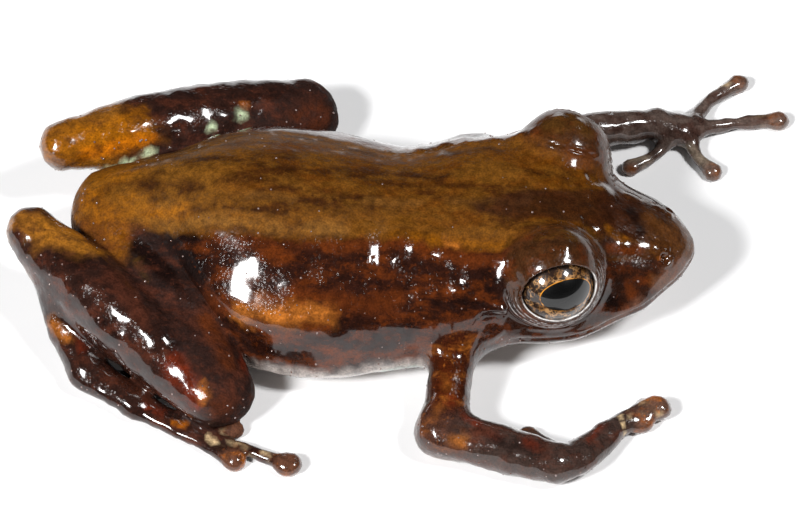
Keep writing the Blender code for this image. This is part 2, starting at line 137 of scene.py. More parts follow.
FEET = {
    "right": {
        "tarsus": ((-13.4, -3.6, 2.5), (-12.6, -5.5, 1.45), (-11.3, -7.3, 0.75)),
        "sole": (-9.1, -8.5, 0.5),
        "digits": (
            Digit((-10.4, -7.2, 0.4), (-9.6, -6.9, 0.3), (-8.9, -6.6, 0.26), 0.25, 0.32),
            Digit((-9.5, -7.9, 0.4), (-8.2, -7.7, 0.3), (-7.2, -7.3, 0.26), 0.25, 0.34),
            Digit((-9.1, -8.3, 0.4), (-6.9, -9.1, 0.3), (-4.9, -9.35, 0.26), 0.26, 0.4),
            Digit((-9.0, -8.5, 0.45), (-6.1, -9.75, 0.34), (-2.5, -11.0, 0.3), 0.28, 0.56),
            Digit((-9.3, -8.8, 0.45), (-6.5, -10.05, 0.32), (-4.75, -11.0, 0.28), 0.27, 0.48),
        ),
    },
    "left": {
        "tarsus": ((-12.5, 4.2, 2.4), (-11.7, 5.3, 1.4), (-10.6, 6.4, 0.75)),
        "sole": (-8.6, 7.5, 0.5),
        "digits": (
            Digit((-9.7, 6.4, 0.4), (-8.9, 6.1, 0.3), (-8.2, 5.9, 0.26), 0.25, 0.32),
            Digit((-8.9, 6.9, 0.4), (-7.8, 6.7, 0.3), (-6.9, 6.5, 0.26), 0.25, 0.34),
            Digit((-8.6, 7.3, 0.4), (-6.9, 7.7, 0.3), (-5.5, 7.9, 0.26), 0.26, 0.4),
            Digit((-8.5, 7.5, 0.45), (-6.2, 8.5, 0.3), (-3.3, 8.85, 0.28), 0.28, 0.5),
            Digit((-8.8, 7.8, 0.45), (-7.2, 8.6, 0.3), (-5.0, 9.0, 0.28), 0.27, 0.45),
        ),
    },
}
PALM_RADII = (0.8, 0.64)
PALM_FLATTEN = 0.8
SOLE_RADII = (0.7, 0.72, 0.7)
SOLE_FLATTEN = 0.75
DIGIT_WAIST = 0.1
DISC_FLATTEN = 0.8

# The photograph's camera: its direction, the place it looks at, how far away it is, and its lens
CAMERA_AZIMUTH = radians(5.2)
CAMERA_ELEVATION = radians(50.0)
CAMERA_TARGET = np.array((1.44, -2.53, 3.5))
CAMERA_DISTANCE = 220.0
CAMERA_LENS = 235.5

# Lamps of the studio: direction seen from the frog, size in millimetres and power in watts
LAMPS = {
    "left_flash": ((-0.52, -0.56, 0.64), 110, 3.5),
    "right_flash": ((0.56, -0.14, 0.82), 90, 2.0),
}
LAMP_DISTANCE = 500
FLOOR_HALF = 900

# Grid on which the skin's form is worked out: its step, its corners, and how far from the skin its
# distances hold
STEP = 0.085
GRID_LOW = (-16.2, -12.8, -0.5)
GRID_HIGH = (18.5, 13.6, 7.4)
REACH = 1.4

# The skin's triangles once it is thinned, and how far round an eye its faces are finest
SKIN_TRIANGLES = 196000
FINE_REACH = 3.1

# A limb joins softly up to the first distance from its joint, and firmly past the second
JOINT_NEAR = 2.4
JOINT_FAR = 4.6

# Widths of the corners that joined forms fill: firm joins, and the eye's swelling on the head
FIRM = 0.1
LID_SOFTNESS = 0.9

# How thick the lids are over the eyeball, and how far from its centre they are worked
LID_THICKNESS = 0.11
EYE_REACH = 2.8


def unit(vector):
    return np.asarray(vector, float) / np.linalg.norm(vector)


def mirrored(vector, side):
    """A place given on the frog's left, on the side +1 for left or -1 for right."""
    return np.asarray(vector, float) * (1, side, 1)


def ramp(value, low, high):
    """0 below low, 1 above high, and smooth between; low may be the greater."""
    share = np.clip((value - low) / (high - low), 0, 1)
    return share * share * (3 - 2 * share)


def bell(value, width):
    return np.exp(-((value / width) ** 2))


def along(values, places, at):
    """Reads a smooth curve through values given at rising places."""
    values, places = np.asarray(values, float), np.asarray(places, float)
    at = np.clip(at, places[0], places[-1])
    order = np.arange(len(places))
    low, high = np.maximum(order - 1, 0), np.minimum(order + 1, len(places) - 1)
    slopes = ((values[high] - values[low]).T / (places[high] - places[low])).T
    k = np.clip(np.searchsorted(places, at, side="right") - 1, 0, len(places) - 2)
    span = places[k + 1] - places[k]
    t = (at - places[k]) / span
    if values.ndim > 1:
        t, span = t[..., None], span[..., None]
    return (
        (2 * t**3 - 3 * t**2 + 1) * values[k]
        + (t**3 - 2 * t**2 + t) * span * slopes[k]
        + (3 * t**2 - 2 * t**3) * values[k + 1]
        + (t**3 - t**2) * span * slopes[k + 1]
    )


def body_section(x):
    """The body's section at each x, read between the named ones."""
    places = [section.x for section in BODY]
    return Section(x, *(along([s[k] for s in BODY], places, x) for k in range(1, len(Section._fields))))


def body_measure(x, y, z):
    """Below 0 inside the body and above 0 outside, as a share of its size."""
    section = body_section(x)
    above = z > section.widest
    power = np.where(above, section.upper_power, section.lower_power)
    reach = np.where(above, section.top - section.widest, section.widest - section.bottom)
    side = (np.abs(y - section.bow) / section.half_width) ** power
    rise = (np.abs(z - section.widest) / reach) ** power
    past_rump = (RUMP_CAP - x) / (RUMP_CAP - RUMP_END)
    past = np.maximum(0, np.maximum(past_rump, (x - SNOUT_CAP) / (SNOUT_END - SNOUT_CAP)))
    return np.hypot((side + rise) ** (1 / power), past) - 1


def eye_axes(side):
    """The eye's centre and its directions: out along the gaze, up to the upper lid, and forward."""
    gaze = mirrored(GAZE, side)
    upward = unit(np.array((0, 0, 1)) - gaze * gaze[2])
    forward = np.cross(upward, gaze) * side
    forward = forward * np.sign(forward[0])
    return mirrored(EYE_CENTRE, side) - gaze * EYE_SINK, gaze, upward, forward


def eye_place(points, side):
    """How far each point lies from the eye's centre forward, upward and out along the gaze."""
    centre, gaze, upward, forward = eye_axes(side)
    offset = points - centre
    return offset @ forward, offset @ upward, offset @ gaze


def from_opening(forward, upward):
    """About how far outside the lids' opening, in millimetres, and below 0 inside it."""
    across = (forward - OPENING_CENTRE[0]) / OPENING_HALF[0]
    rise = (upward - OPENING_CENTRE[1]) / OPENING_HALF[1]
    return (np.hypot(across, rise) - 1) * sum(OPENING_HALF) / 2


class Tube:
    """A fleshy length with round ends: balls set close along a smooth path."""

    def __init__(self, name, points, radii, flatten=1.0, count=48):
        self.name, self.flatten = name, flatten
        share = np.linspace(0, 1, count)
        self.path = along(points, np.linspace(0, 1, len(points)), share)
        self.radii = along(radii, np.linspace(0, 1, len(radii)), share)

    def reach(self):
        wide = self.radii.max() + REACH
        return self.path.min(0) - wide, self.path.max(0) + wide

    def distance(self, x, y, z):
        nearest = None
        for centre, radius in zip(self.path, self.radii):
            rise = (z - centre[2]) / self.flatten
            gap = np.sqrt((x - centre[0]) ** 2 + (y - centre[1]) ** 2 + rise**2) - radius
            nearest = gap if nearest is None else np.minimum(nearest, gap)
        return nearest


def mitre_normal(root, bend, end):
    """The direction at a bend from the length before it to the length after it."""
    return unit(unit(np.subtract(end, bend)) - unit(np.subtract(root, bend)))


def digits_of(side):
    """Each finger and toe of one side, with the name of the part that it is on."""
    for limb, sizes in (("hand_", HANDS), ("foot_", FEET)):
        for digit in sizes[side]["digits"]:
            yield limb + side, digit


def limb_tubes():
    """Every length of the limbs, as (tube, how softly it joins, where it joins softly or None)."""
    tubes = []
    for side in ("right", "left"):
        arm, hand = ARMS[side], HANDS[side]
        slim = ARM_SLIMNESS[side]
        upper = Tube("upper_arm_" + side, (arm.root, arm.bend), np.multiply(UPPER_ARM_RADII, slim))
        fore = Tube("forearm_" + side, (arm.bend, arm.end), np.multiply(FOREARM_RADII, slim))
        palm_radii = (FOREARM_RADII[-1] * slim, *PALM_RADII)
        palm = Tube("hand_" + side, (arm.end, *hand["palm"]), palm_radii, PALM_FLATTEN)
        tubes += [(upper, 1.3, arm.root), (fore, 0.7, arm.bend), (palm, 0.35, None)]
        leg, foot = LEGS[side], FEET[side]
        apart = mitre_normal(*leg) * KNEE_SPREAD
        thigh = Tube("thigh_" + side, (leg.root, *THIGH_BOW[side], leg.bend - apart), THIGH_RADII[side])
        shank = Tube("shank_" + side, (leg.bend + apart, leg.end), SHANK_RADII)
        tarsus = Tube("foot_" + side, (leg.end, *foot["tarsus"]), TARSUS_RADII)
        sole = Tube("foot_" + side, (foot["tarsus"][-1], foot["sole"]), SOLE_RADII, SOLE_FLATTEN)
        tubes += [(thigh, 1.2, leg.root), (shank, 0.9, leg.bend), (tarsus, 0.75, None), (sole, 0.5, None)]
        for name, digit in digits_of(side):
            tubes += digit_tubes(name, digit)
    return tubes


def digit_tubes(name, digit):
    """A finger or toe with its swollen joints, and the flat pad at its tip."""
    share = np.linspace(0, 1, 9)
    radii = digit.radius * (1 + DIGIT_WAIST * np.cos(2 * pi * share))
    path = (digit.knuckle, digit.bend, digit.tip)
    forward = unit(np.subtract(digit.tip, digit.bend) * (1, 1, 0))
    pad = [np.asarray(digit.tip) + forward * digit.disc * step for step in (-0.18, 0.0)]
    return [
        (Tube(name, path, radii, count=36), 0.3, None),
        (Tube(name, pad, (digit.disc * 0.94, digit.disc), DISC_FLATTEN, count=4), 0.16, None),
    ]


class Field:
    """Distances in millimetres from the skin on a grid round the whole frog, below 0 inside."""

    def __init__(self, low, high):
        self.low = np.floor(np.asarray(low) / STEP).astype(int)
        size = np.ceil(np.asarray(high) / STEP).astype(int) - self.low
        self.axes = [(self.low[k] + np.arange(size[k])) * STEP for k in range(3)]
        self.values = np.full(size, REACH, np.float32)

    def window(self, low, high):
        """The slices of the grid between two corners, and the coordinates there."""
        cuts = tuple(
            slice(*np.clip(np.searchsorted(axis, (low[k], high[k])), 0, len(axis)))
            for k, axis in enumerate(self.axes)
        )
        x, y, z = (axis[cut].astype(np.float32) for axis, cut in zip(self.axes, cuts))
        return cuts, x[:, None, None], y[None, :, None], z[None, None, :]

    def whole(self):
        return self.window(np.subtract(GRID_LOW, STEP), np.add(GRID_HIGH, STEP))

    def join(self, cuts, distance, softness):
        """Adds a form, filling the corner where it meets what is there."""
        there = self.values[cuts]
        near = np.maximum(softness - np.abs(there - distance), 0)
        self.values[cuts] = np.minimum(there, distance) - near**2 / (4 * softness)

    def carve(self, cuts, distance, softness):
        there = self.values[cuts]
        near = np.maximum(softness - np.abs(there + distance), 0)
        self.values[cuts] = np.maximum(there, -distance) + near**2 / (4 * softness)

    def surface(self):
        """The skin's points and four-sided faces."""
        grid = openvdb.FloatGrid(REACH)
        grid.copyFromArray(np.ascontiguousarray(self.values), ijk=tuple(int(k) for k in self.low))
        grid.transform = openvdb.createLinearTransform(voxelSize=STEP)
        return grid.convertToQuads(isovalue=0.0)


def skin_field(tubes):
    """The body joined with the swellings of the eyes and the limbs, its lids open and its underside flat."""
    field = Field(GRID_LOW, GRID_HIGH)
    cuts, x, y, z = field.whole()
    measure = body_measure(x, y, z).astype(np.float32)
    slope = np.sqrt(sum(g**2 for g in np.gradient(measure, STEP)))
    field.join(cuts, np.clip(measure / np.maximum(slope, 0.05), -REACH, REACH), 0.02)
    for side in (1, -1):
        centre = mirrored(LID_CENTRE, side)
        cuts, x, y, z = field.window(centre - LID_RADIUS - REACH, centre + LID_RADIUS + REACH)
        lid = np.sqrt((x - centre[0]) ** 2 + (y - centre[1]) ** 2 + (z - centre[2]) ** 2) - LID_RADIUS
        field.join(cuts, lid, LID_SOFTNESS)
    for tube, softness, joint in tubes:
        cuts, x, y, z = field.window(*tube.reach())
        if joint is not None:
            away = np.sqrt((x - joint[0]) ** 2 + (y - joint[1]) ** 2 + (z - joint[2]) ** 2)
            softness = FIRM + (softness - FIRM) * ramp(away, JOINT_FAR, JOINT_NEAR)
        field.join(cuts, tube.distance(x, y, z), softness)
    for side in (1, -1):
        open_lids(field, side)
    field.values = np.maximum(field.values, -field.whole()[3])
    return field


def open_lids(field, side):
    """Wraps the lids close round the eyeball, and parts them over what shows of it."""
    centre = eye_axes(side)[0]
    cuts, x, y, z = field.window(centre - EYE_REACH, centre + EYE_REACH)
    place = np.stack(np.broadcast_arrays(x, y, z), -1)
    forward, upward, outward = eye_place(place, side)
    wrap = np.sqrt(forward**2 + upward**2 + outward**2) - (EYE_RADIUS + LID_THICKNESS)
    field.join(cuts, wrap, 3 * FIRM)
    field.carve(cuts, np.maximum(from_opening(forward, upward), 0.1 - outward), FIRM)


def mesh_named(name, points, faces):
    mesh = bpy.data.meshes.new(name)
    mesh.from_pydata(points.tolist(), [], faces.tolist())
    mesh.update()
    return mesh


def shown(data, name):
    """A mesh, lamp or camera as an object of the scene."""
    obj = bpy.data.objects.new(name, data)
    bpy.context.scene.collection.objects.link(obj)
    return obj


def made_real(obj):
    """An object's mesh with its modifiers worked in."""
    graph = bpy.context.evaluated_depsgraph_get()
    return bpy.data.meshes.new_from_object(obj.evaluated_get(graph))


def points_of(mesh):
    points = np.empty(len(mesh.vertices) * 3, np.float32)
    mesh.vertices.foreach_get("co", points)
    return points.reshape(-1, 3).astype(float)


def set_points(mesh, points):
    mesh.vertices.foreach_set("co", points.astype(np.float32).ravel())
    mesh.update()


def normals_of(mesh):
    normals = np.empty(len(mesh.vertices) * 3, np.float32)
    mesh.vertex_normals.foreach_get("vector", normals)
    return normals.reshape(-1, 3).astype(float)


def keep_largest(mesh):
    """Drops every closed surface of the mesh but the largest, and turns its faces outwards."""
    shape = bmesh.new()
    shape.from_mesh(mesh)
    left = set(shape.verts)
    islands = []
    while left:
        island = [left.pop()]
        for vert in island:
            for edge in vert.link_edges:
                other = edge.other_vert(vert)
                if other in left:
                    left.discard(other)
                    island.append(other)
        islands.append(island)
    islands.sort(key=len)
    for island in islands[:-1]:
        bmesh.ops.delete(shape, geom=island, context="VERTS")
    bmesh.ops.recalc_face_normals(shape, faces=shape.faces)
    shape.to_mesh(mesh)
    shape.free()


def relaxed(mesh, rounds, share=0.5, only=None):
    """Evens out the grid's small steps, moving each point towards the middle of its neighbours."""
    points = points_of(mesh)
    edges = np.empty(len(mesh.edges) * 2, np.int32)
    mesh.edges.foreach_get("vertices", edges)
    edges = edges.reshape(-1, 2)
    if only is not None:
        share = share * only[:, None]
        edges = edges[(only[edges] > 0).any(1)]
    first, second = edges.T
    count = np.maximum(np.bincount(edges.ravel(), minlength=len(points)), 1)[:, None]
    for _ in range(rounds):
        total = np.stack(
            [
                np.bincount(first, points[second, k], len(points))
                + np.bincount(second, points[first, k], len(points))
                for k in range(3)
            ],
            1,
        )
        points += share * (total / count - points)
    set_points(mesh, points)


def near_eyes(points, low, high):
    """1 within low millimetres of an eye's centre, and 0 beyond high."""
    gaps = [np.linalg.norm(points - mirrored(EYE_CENTRE, side), axis=1) for side in (1, -1)]
    return ramp(np.min(gaps, axis=0), high, low)


def refined(mesh):
    """Halves the size of the faces round the eyes, for their lids and folds."""
    shape = bmesh.new()
    shape.from_mesh(mesh)
    shape.verts.ensure_lookup_table()
    fine = near_eyes(points_of(mesh), FINE_REACH, FINE_REACH + 0.01) > 0.5
    edges = [edge for edge in shape.edges if fine[edge.verts[0].index] and fine[edge.verts[1].index]]
    bmesh.ops.subdivide_edges(shape, edges=edges, cuts=1, use_grid_fill=True)
    shape.to_mesh(mesh)
    shape.free()


def rough(points, size, seed=0.0):
    """Smooth random bumps from about -1 to 1, size millimetres across."""
    return np.array([noise.noise(place) for place in (points / size + seed).tolist()])


def distance_to_line(points, line):
    """Distance from each point to a path of straight lengths."""
    line = np.asarray(line, float)
    nearest = np.full(len(points), np.inf)
    for start, end in zip(line, line[1:]):
        step = end - start
        share = np.clip(((points - start) @ step) / (step @ step), 0, 1)
        nearest = np.minimum(nearest, np.linalg.norm(points - start - share[:, None] * step, axis=1))
    return nearest


class Skin:
    """The points of the skin, and what each lies on."""

    def __init__(self, mesh, tubes):
        self.points, self.normals = points_of(mesh), normals_of(mesh)
        self.x, self.y, self.z = self.points.T
        self.facing_up = self.normals[:, 2]
        self.section = body_section(self.x)
        self.across = (self.y - self.section.bow) / self.section.half_width
        names = ["body"] + sorted({tube.name for tube, _, _ in tubes})
        gaps = {name: np.full(len(self.points), FAR) for name in names}
        gaps["body"] = body_measure(*self.points.T) * BODY_SCALE
        for side in (1, -1):
            gaps["body"] = np.minimum(gaps["body"], self.from_lid(side))
        for tube, _, _ in tubes:
            low, high = tube.reach()
            near = np.all((self.points > low) & (self.points < high), axis=1)
            gap = tube.distance(*self.points[near].T)
            gaps[tube.name][near] = np.minimum(gaps[tube.name][near], gap)
        self.gaps = gaps
        nearest = np.min(list(gaps.values()), axis=0)
        weights = {name: np.exp((nearest - gap) / PART_BLEND) for name, gap in gaps.items()}
        total = sum(weights.values())
        self.parts = {name: weight / total for name, weight in weights.items()}

    def from_place(self, place, side=1):
        """Distance from each point to a place, which side -1 mirrors from the frog's left to its right."""
        return np.linalg.norm(self.points - mirrored(place, side), axis=1)

    def from_line(self, line, side=1):
        return distance_to_line(self.points, [mirrored(place, side) for place in line])

    def from_lid(self, side):
        return self.from_place(LID_CENTRE, side) - LID_RADIUS


# Steps in how firmly the thinning keeps the skin's points
KEPT_LEVELS = 20

# Width over which one part's colours pass into the next, a gap that counts as far from a part, and
# about how many millimetres the body's measure of 1 stands for
PART_BLEND = 0.15
FAR = 9.0
BODY_SCALE = 4

# Uneven skin, in layers: height, size across, seed, and a factor on x, below 1 for bumps that run lengthwise
FLANK_BUMPS = ((0.04, 0.9, 0.0, 1), (0.018, 0.42, 7.1, 1))
FLANK_CREASES = ((0.03, 0.22, 2.2, 0.3),)
BACK_BUMPS = ((0.02, 0.6, 3.3, 0.35), (0.006, 0.25, 1.9, 1))
LIMB_BUMPS = ((0.06, 1.0, 5.2, 1), (0.05, 0.5, 9.4, 1), (0.012, 0.26, 3.7, 1))

# How much fuller the flank is than the body's sections, where it is fullest
FLANK_FULLNESS = 0.3

# Small warts of the head, all of one height and width
TUBERCLE_HEIGHT = 0.1
TUBERCLE_WIDTH = 0.27
TUBERCLES = ((7.66, 1.36, 5.79), (9.03, 0.45, 5.45), (7.6, 3.5, 6.6), (8.4, 3.4, 6.55), (6.5, 4.13, 5.0))

# Flat-topped spots along the snout's edge, all of one height: width and place of each
SPOT_HEIGHT = 0.06
SNOUT_SPOTS = ((0.33, 10.87, 1.3, 4.45), (0.24, 12.05, 1.1, 4.08), (0.16, 12.5, 0.92, 3.91))

# Soft swellings of the flank and of the head: height, width and place of each
SWELLS = (
    (0.13, 0.9, -4.0, 4.2, 5.5),
    (0.16, 0.75, -2.6, 4.9, 5.1),
    (0.09, 0.6, -6.3, 2.95, 5.75),
    (0.14, 0.22, 8.76, 1.22, 5.62),
    (0.06, 0.25, 9.64, 1.2, 5.15),
)

# Folds over the shoulder and the crown: height, width and path of each
FOLDS = (
    (0.16, 0.42, ((-0.05, 2.9, 5.9), (0.05, 4.0, 5.3))),
    (0.22, 0.42, ((1.5, 2.6, 5.85), (1.6, 3.7, 5.4))),
    (0.2, 0.38, ((2.6, 2.6, 5.8), (2.7, 3.6, 5.5))),
    (0.12, 0.28, ((2.4, 4.1, 5.2), (2.45, 5.0, 4.6))),
    (0.13, 0.28, ((3.95, 3.9, 5.3), (4.0, 4.7, 4.7))),
    (0.12, 0.42, ((7.3, 0.95, 5.85), (8.6, 0.9, 5.5), (9.7, 0.85, 5.15))),
)

# Rings round a place or along a line: height, distance from it and width of each
MOUTH_LINE = ((0.015, 0.22, 0.16), (-0.07, 0.0, 0.07))
LID_RIM = ((0.035, 0.06, 0.05),)
LID_FOLDS = ((0.04, 0.24, 0.05), (0.04, 0.37, 0.045), (0.04, 0.5, 0.05))
LID_GROOVES = ((-0.05, 0.17, 0.03), (-0.05, 0.305, 0.03), (-0.05, 0.435, 0.03), (-0.05, 0.66, 0.08))
CREASE_RINGS = ((0.02, 0.14, 0.06), (-0.04, 0.0, 0.05))
NOSTRIL_RINGS = ((0.06, 0.3, 0.1), (-0.26, 0.0, 0.15))
EAR_RINGS = ((0.05, 0.55, 0.1), (-0.05, 0.0, 0.4))
EAR_RIDGE = ((0.14, 0.0, 0.17),)
EAR_GROOVE = ((-0.12, 0.0, 0.12),)
CANTHUS_RIDGE = ((0.04, 0.0, 0.4),)
LORE_HOLLOW = ((-0.12, 0.0, 0.8),)

# Muscle along the right shank, as the frog holds it
CALF = ((-10.6, -5.3, 4.15), (-9.4, -6.3, 3.9), (-8.3, -7.3, 3.5))
CALF_HEIGHT = 0.18
CALF_WIDTH = 0.75

# Features of the head, on the frog's left: the crease over the lid, the fold over the ear with a groove
# that much lower, the ear, the ridge from the eye to the nostril, and the hollow under that ridge
LID_CREASE = (
    (6.0, 3.2, 5.5),
    (6.6, 2.75, 6.1),
    (7.5, 2.3, 6.35),
    (8.4, 2.15, 6.2),
    (9.1, 2.3, 5.85),
    (9.6, 3.0, 5.0),
)
EAR_FOLD = ((5.9, 4.85, 3.95), (5.0, 4.95, 4.05), (4.3, 5.3, 3.45), (4.05, 5.45, 3.0))
EAR_GROOVE_DROP = (0, 0, 0.3)
EAR = (5.3, 5.1, 3.0)
CANTHUS = ((9.4, 2.0, 5.0), (10.8, 1.15, 4.5), (12.1, 0.95, 4.05))
LORE = (11.0, 3.1, 3.25)
LORE_SIZE = (1.3, 1.0, 0.7)


def uneven(points, layers):
    """Random bumps in layers, in millimetres."""
    return sum(height * rough(points * (long, 1, 1), size, seed) for height, size, seed, long in layers)


def rings(gap, sizes):
    """Height at each distance from a place or a line."""
    return sum(height * bell(gap - away, width) for height, away, width in sizes)


def mouth_relief(skin):
    """The line of the closed mouth, and the swollen edge above it."""
    lip = skin.z - skin.section.widest - 0.05
    shut = ramp(skin.x, MOUTH_CORNER_X, MOUTH_CORNER_X + 0.8) * ramp(np.abs(skin.facing_up), 0.95, 0.6)
    return shut * rings(lip, MOUTH_LINE)


def flank_share(skin):
    return ramp(np.abs(skin.across), 0.5, 0.8) * ramp(skin.x, 7.5, 5.0)


def flank_relief(skin):
    """The flank's uneven skin, with fine creases low on it."""
    creased = ramp(skin.z, 2.2, 1.2) * ramp(skin.z, 0.2, 0.5)
    return uneven(skin.points, FLANK_BUMPS) + creased * uneven(skin.points, FLANK_CREASES)


def fullness(skin):
    """How much fuller the flank is than the body's sections, halfway up it."""
    along_body = ramp(skin.x, -9.5, -7.0) * ramp(skin.x, 6.0, 3.5)
    return FLANK_FULLNESS * ramp(np.abs(skin.across), 0.4, 0.7) * bell(skin.z - 3.9, 0.9) * along_body


def shoulder_relief(skin):
    """Wrinkles across the shoulder, and the raised edge of the back above them."""
    shoulder = ramp(np.abs(skin.across), 0.38, 0.6) * ramp(np.abs(skin.x - 3.6), 3.9, 2.2)
    wrinkled = ramp(np.abs(skin.x - 2.4), 3.4, 1.8) * ramp(np.abs(skin.z - 4.6), 1.6, 0.8)
    wavy = skin.x + 0.4 * rough(skin.points * (1, 0.5, 0.5), 0.9, 6.4)
    height = 0.02 * (0.6 + 0.9 * rough(skin.points, 1.1, 8.3))
    edge = ramp(skin.z, 4.2, 4.9) * bell(from_tan_edge(skin) - 0.1, 0.34)
    raised_edge = edge * (0.11 + 0.1 * rough(skin.points, 0.5, 4.1))
    return shoulder * (wrinkled * height * np.sin(wavy * 2 * pi / 0.85) + raised_edge)


def placed_relief(skin, side):
    """Swellings, folds, warts and flat-topped spots, each in its own place."""
    body = skin.parts["body"]
    raised = np.zeros(len(skin.points))
    for height, width, *place in SWELLS:
        raised += body * height * bell(skin.from_place(place, side), width)
    broken = 1 + 0.5 * rough(skin.points, 0.6, 1.2)
    for height, width, line in FOLDS:
        raised += body * height * broken * bell(skin.from_line(line, side), width)
    for place in TUBERCLES:
        raised += TUBERCLE_HEIGHT * bell(skin.from_place(place, side), TUBERCLE_WIDTH)
    for width, *place in SNOUT_SPOTS:
        raised += SPOT_HEIGHT * np.exp(-((skin.from_place(place, side) / width) ** 4))
    return raised


def skin_relief(skin):
    """How far each point of the skin is raised, in millimetres, by folds, wrinkles and pits."""
    body = skin.parts["body"]
    flank = body * flank_share(skin)
    raised = body * (mouth_relief(skin) + fullness(skin) + shoulder_relief(skin))
    raised += flank * flank_relief(skin) + body * (1 - flank) * uneven(skin.points, BACK_BUMPS)
    raised += (1 - body) * uneven(skin.points, LIMB_BUMPS)
    raised += skin.parts["shank_right"] * CALF_HEIGHT * bell(skin.from_line(CALF), CALF_WIDTH)
    for side in (1, -1):
        raised += body * head_relief(skin, side) + placed_relief(skin, side)
    return raised


def lid_relief(skin, side):
    """The rim of the opening, and the fine folds of the lower lid round it."""
    forward, upward, outward = eye_place(skin.points, side)
    out = from_opening(forward, upward)
    near_eye = ramp(outward, -0.7, 0.0) * ramp(out, 1.3, 0.8)
    return near_eye * (rings(out, LID_RIM) + ramp(upward, 0.4, -0.3) * rings(out, LID_FOLDS + LID_GROOVES))


def head_relief(skin, side):
    """Lids, nostrils, the ridge and the hollow beside the snout, and the ear under its fold."""
    raised = lid_relief(skin, side)
    for line, sizes in ((LID_CREASE, CREASE_RINGS), (CANTHUS, CANTHUS_RIDGE)):
        raised += rings(skin.from_line(line, side), sizes)
    for place, sizes in ((NOSTRIL, NOSTRIL_RINGS), (EAR, EAR_RINGS)):
        raised += rings(skin.from_place(place, side), sizes)
    lore = np.linalg.norm((skin.points - mirrored(LORE, side)) / LORE_SIZE, axis=1)
    raised += rings(lore, LORE_HOLLOW) + rings(skin.from_line(EAR_FOLD, side), EAR_RIDGE)
    lower_fold = [mirrored(place, side) - EAR_GROOVE_DROP for place in EAR_FOLD]
    return raised + rings(distance_to_line(skin.points, lower_fold), EAR_GROOVE)


# How much brighter the photograph shows a colour than the skin gives back
PHOTO_LIGHT = 1.3


def paint(red, green, blue):
    """A colour as the photograph shows it, from 0 to 255, as what the skin itself gives back."""
    value = np.array((red, green, blue)) / 255
    seen = np.where(value <= 0.04045, value / 12.92, ((value + 0.055) / 1.055) ** 2.4)
    return seen / PHOTO_LIGHT


COLOURS = {
    "tan": paint(108, 68, 18),
    "fawn": paint(124, 82, 32),
    "gold": paint(150, 88, 6),
    "streak": paint(52, 25, 4),
    "band": paint(52, 24, 8),
    "bark": paint(92, 50, 6),
    "brown": paint(84, 48, 18),
    "olive": paint(96, 64, 18),
    "russet": paint(90, 40, 12),
    "flank": paint(40, 18, 11),
    "ink": paint(20, 9, 7),
    "rust": paint(102, 46, 12),
    "rust_red": paint(110, 38, 14),
    "amber": paint(172, 100, 36),
    "orange": paint(208, 112, 12),
    "belly": paint(184, 172, 164),
    "silver": paint(170, 202, 188),
    "cheek": paint(46, 24, 15),
    # Pinkish grey: a painted reflection of the floor on the snout's tip and over the elbow, and a tone along
    # the lower jaw
    "lip": paint(110, 74, 58),
    "lid": paint(66, 38, 17),
    "limb": paint(42, 24, 19),
    "limb_rust": paint(80, 40, 26),
    "arm": paint(64, 25, 7),
    # Greyish tone of the far arm, also laid as a painted reflection on the near forearm and hand
    "far_arm_and_sheen": paint(108, 92, 84),
    "heel": paint(170, 108, 32),
    "cream": paint(214, 184, 140),
    "pale": paint(150, 134, 116),
    "disc": paint(94, 60, 44),
    "pale_line": paint(200, 216, 176),
}

# The share of the body's bow that the tan back follows
BACK_BOW = 0.15

# Edge of the tan back: place along the body, and how far out from its middle
TAN_EDGE = (
    (-12.5, 1.6),
    (-11.3, 2.5),
    (-10.2, 2.9),
    (-9.4, 2.6),
    (-7.9, 2.7),
    (-6.7, 3.1),
    (-4.6, 3.4),
    (-3.5, 3.45),
    (-1.4, 3.2),
    (1.4, 2.9),
    (3.6, 3.2),
    (5.8, 3.2),
    (7.5, 2.5),
    (9.3, 2.35),
    (10.5, 2.0),
    (11.5, 1.6),
    (12.5, 1.2),
    (13.2, 0.8),
)

# Dark band over the crown: place along the body, and its right and left edges
CROWN_BAND = (
    (4.0, -1.35, -1.2),
    (5.5, -1.65, -0.45),
    (6.5, -1.6, -0.1),
    (7.5, -1.55, 0.15),
    (8.5, -1.45, 0.4),
    (9.5, -1.3, 0.75),
    (10.5, -1.15, 0.9),
    (11.6, -1.0, 0.6),
)


def from_tan_edge(skin):
    """How far each point lies past the edge of the tan back, in millimetres across the body."""
    places, off = zip(*TAN_EDGE)
    return np.abs(skin.y - BACK_BOW * skin.section.bow) - along(off, places, skin.x)


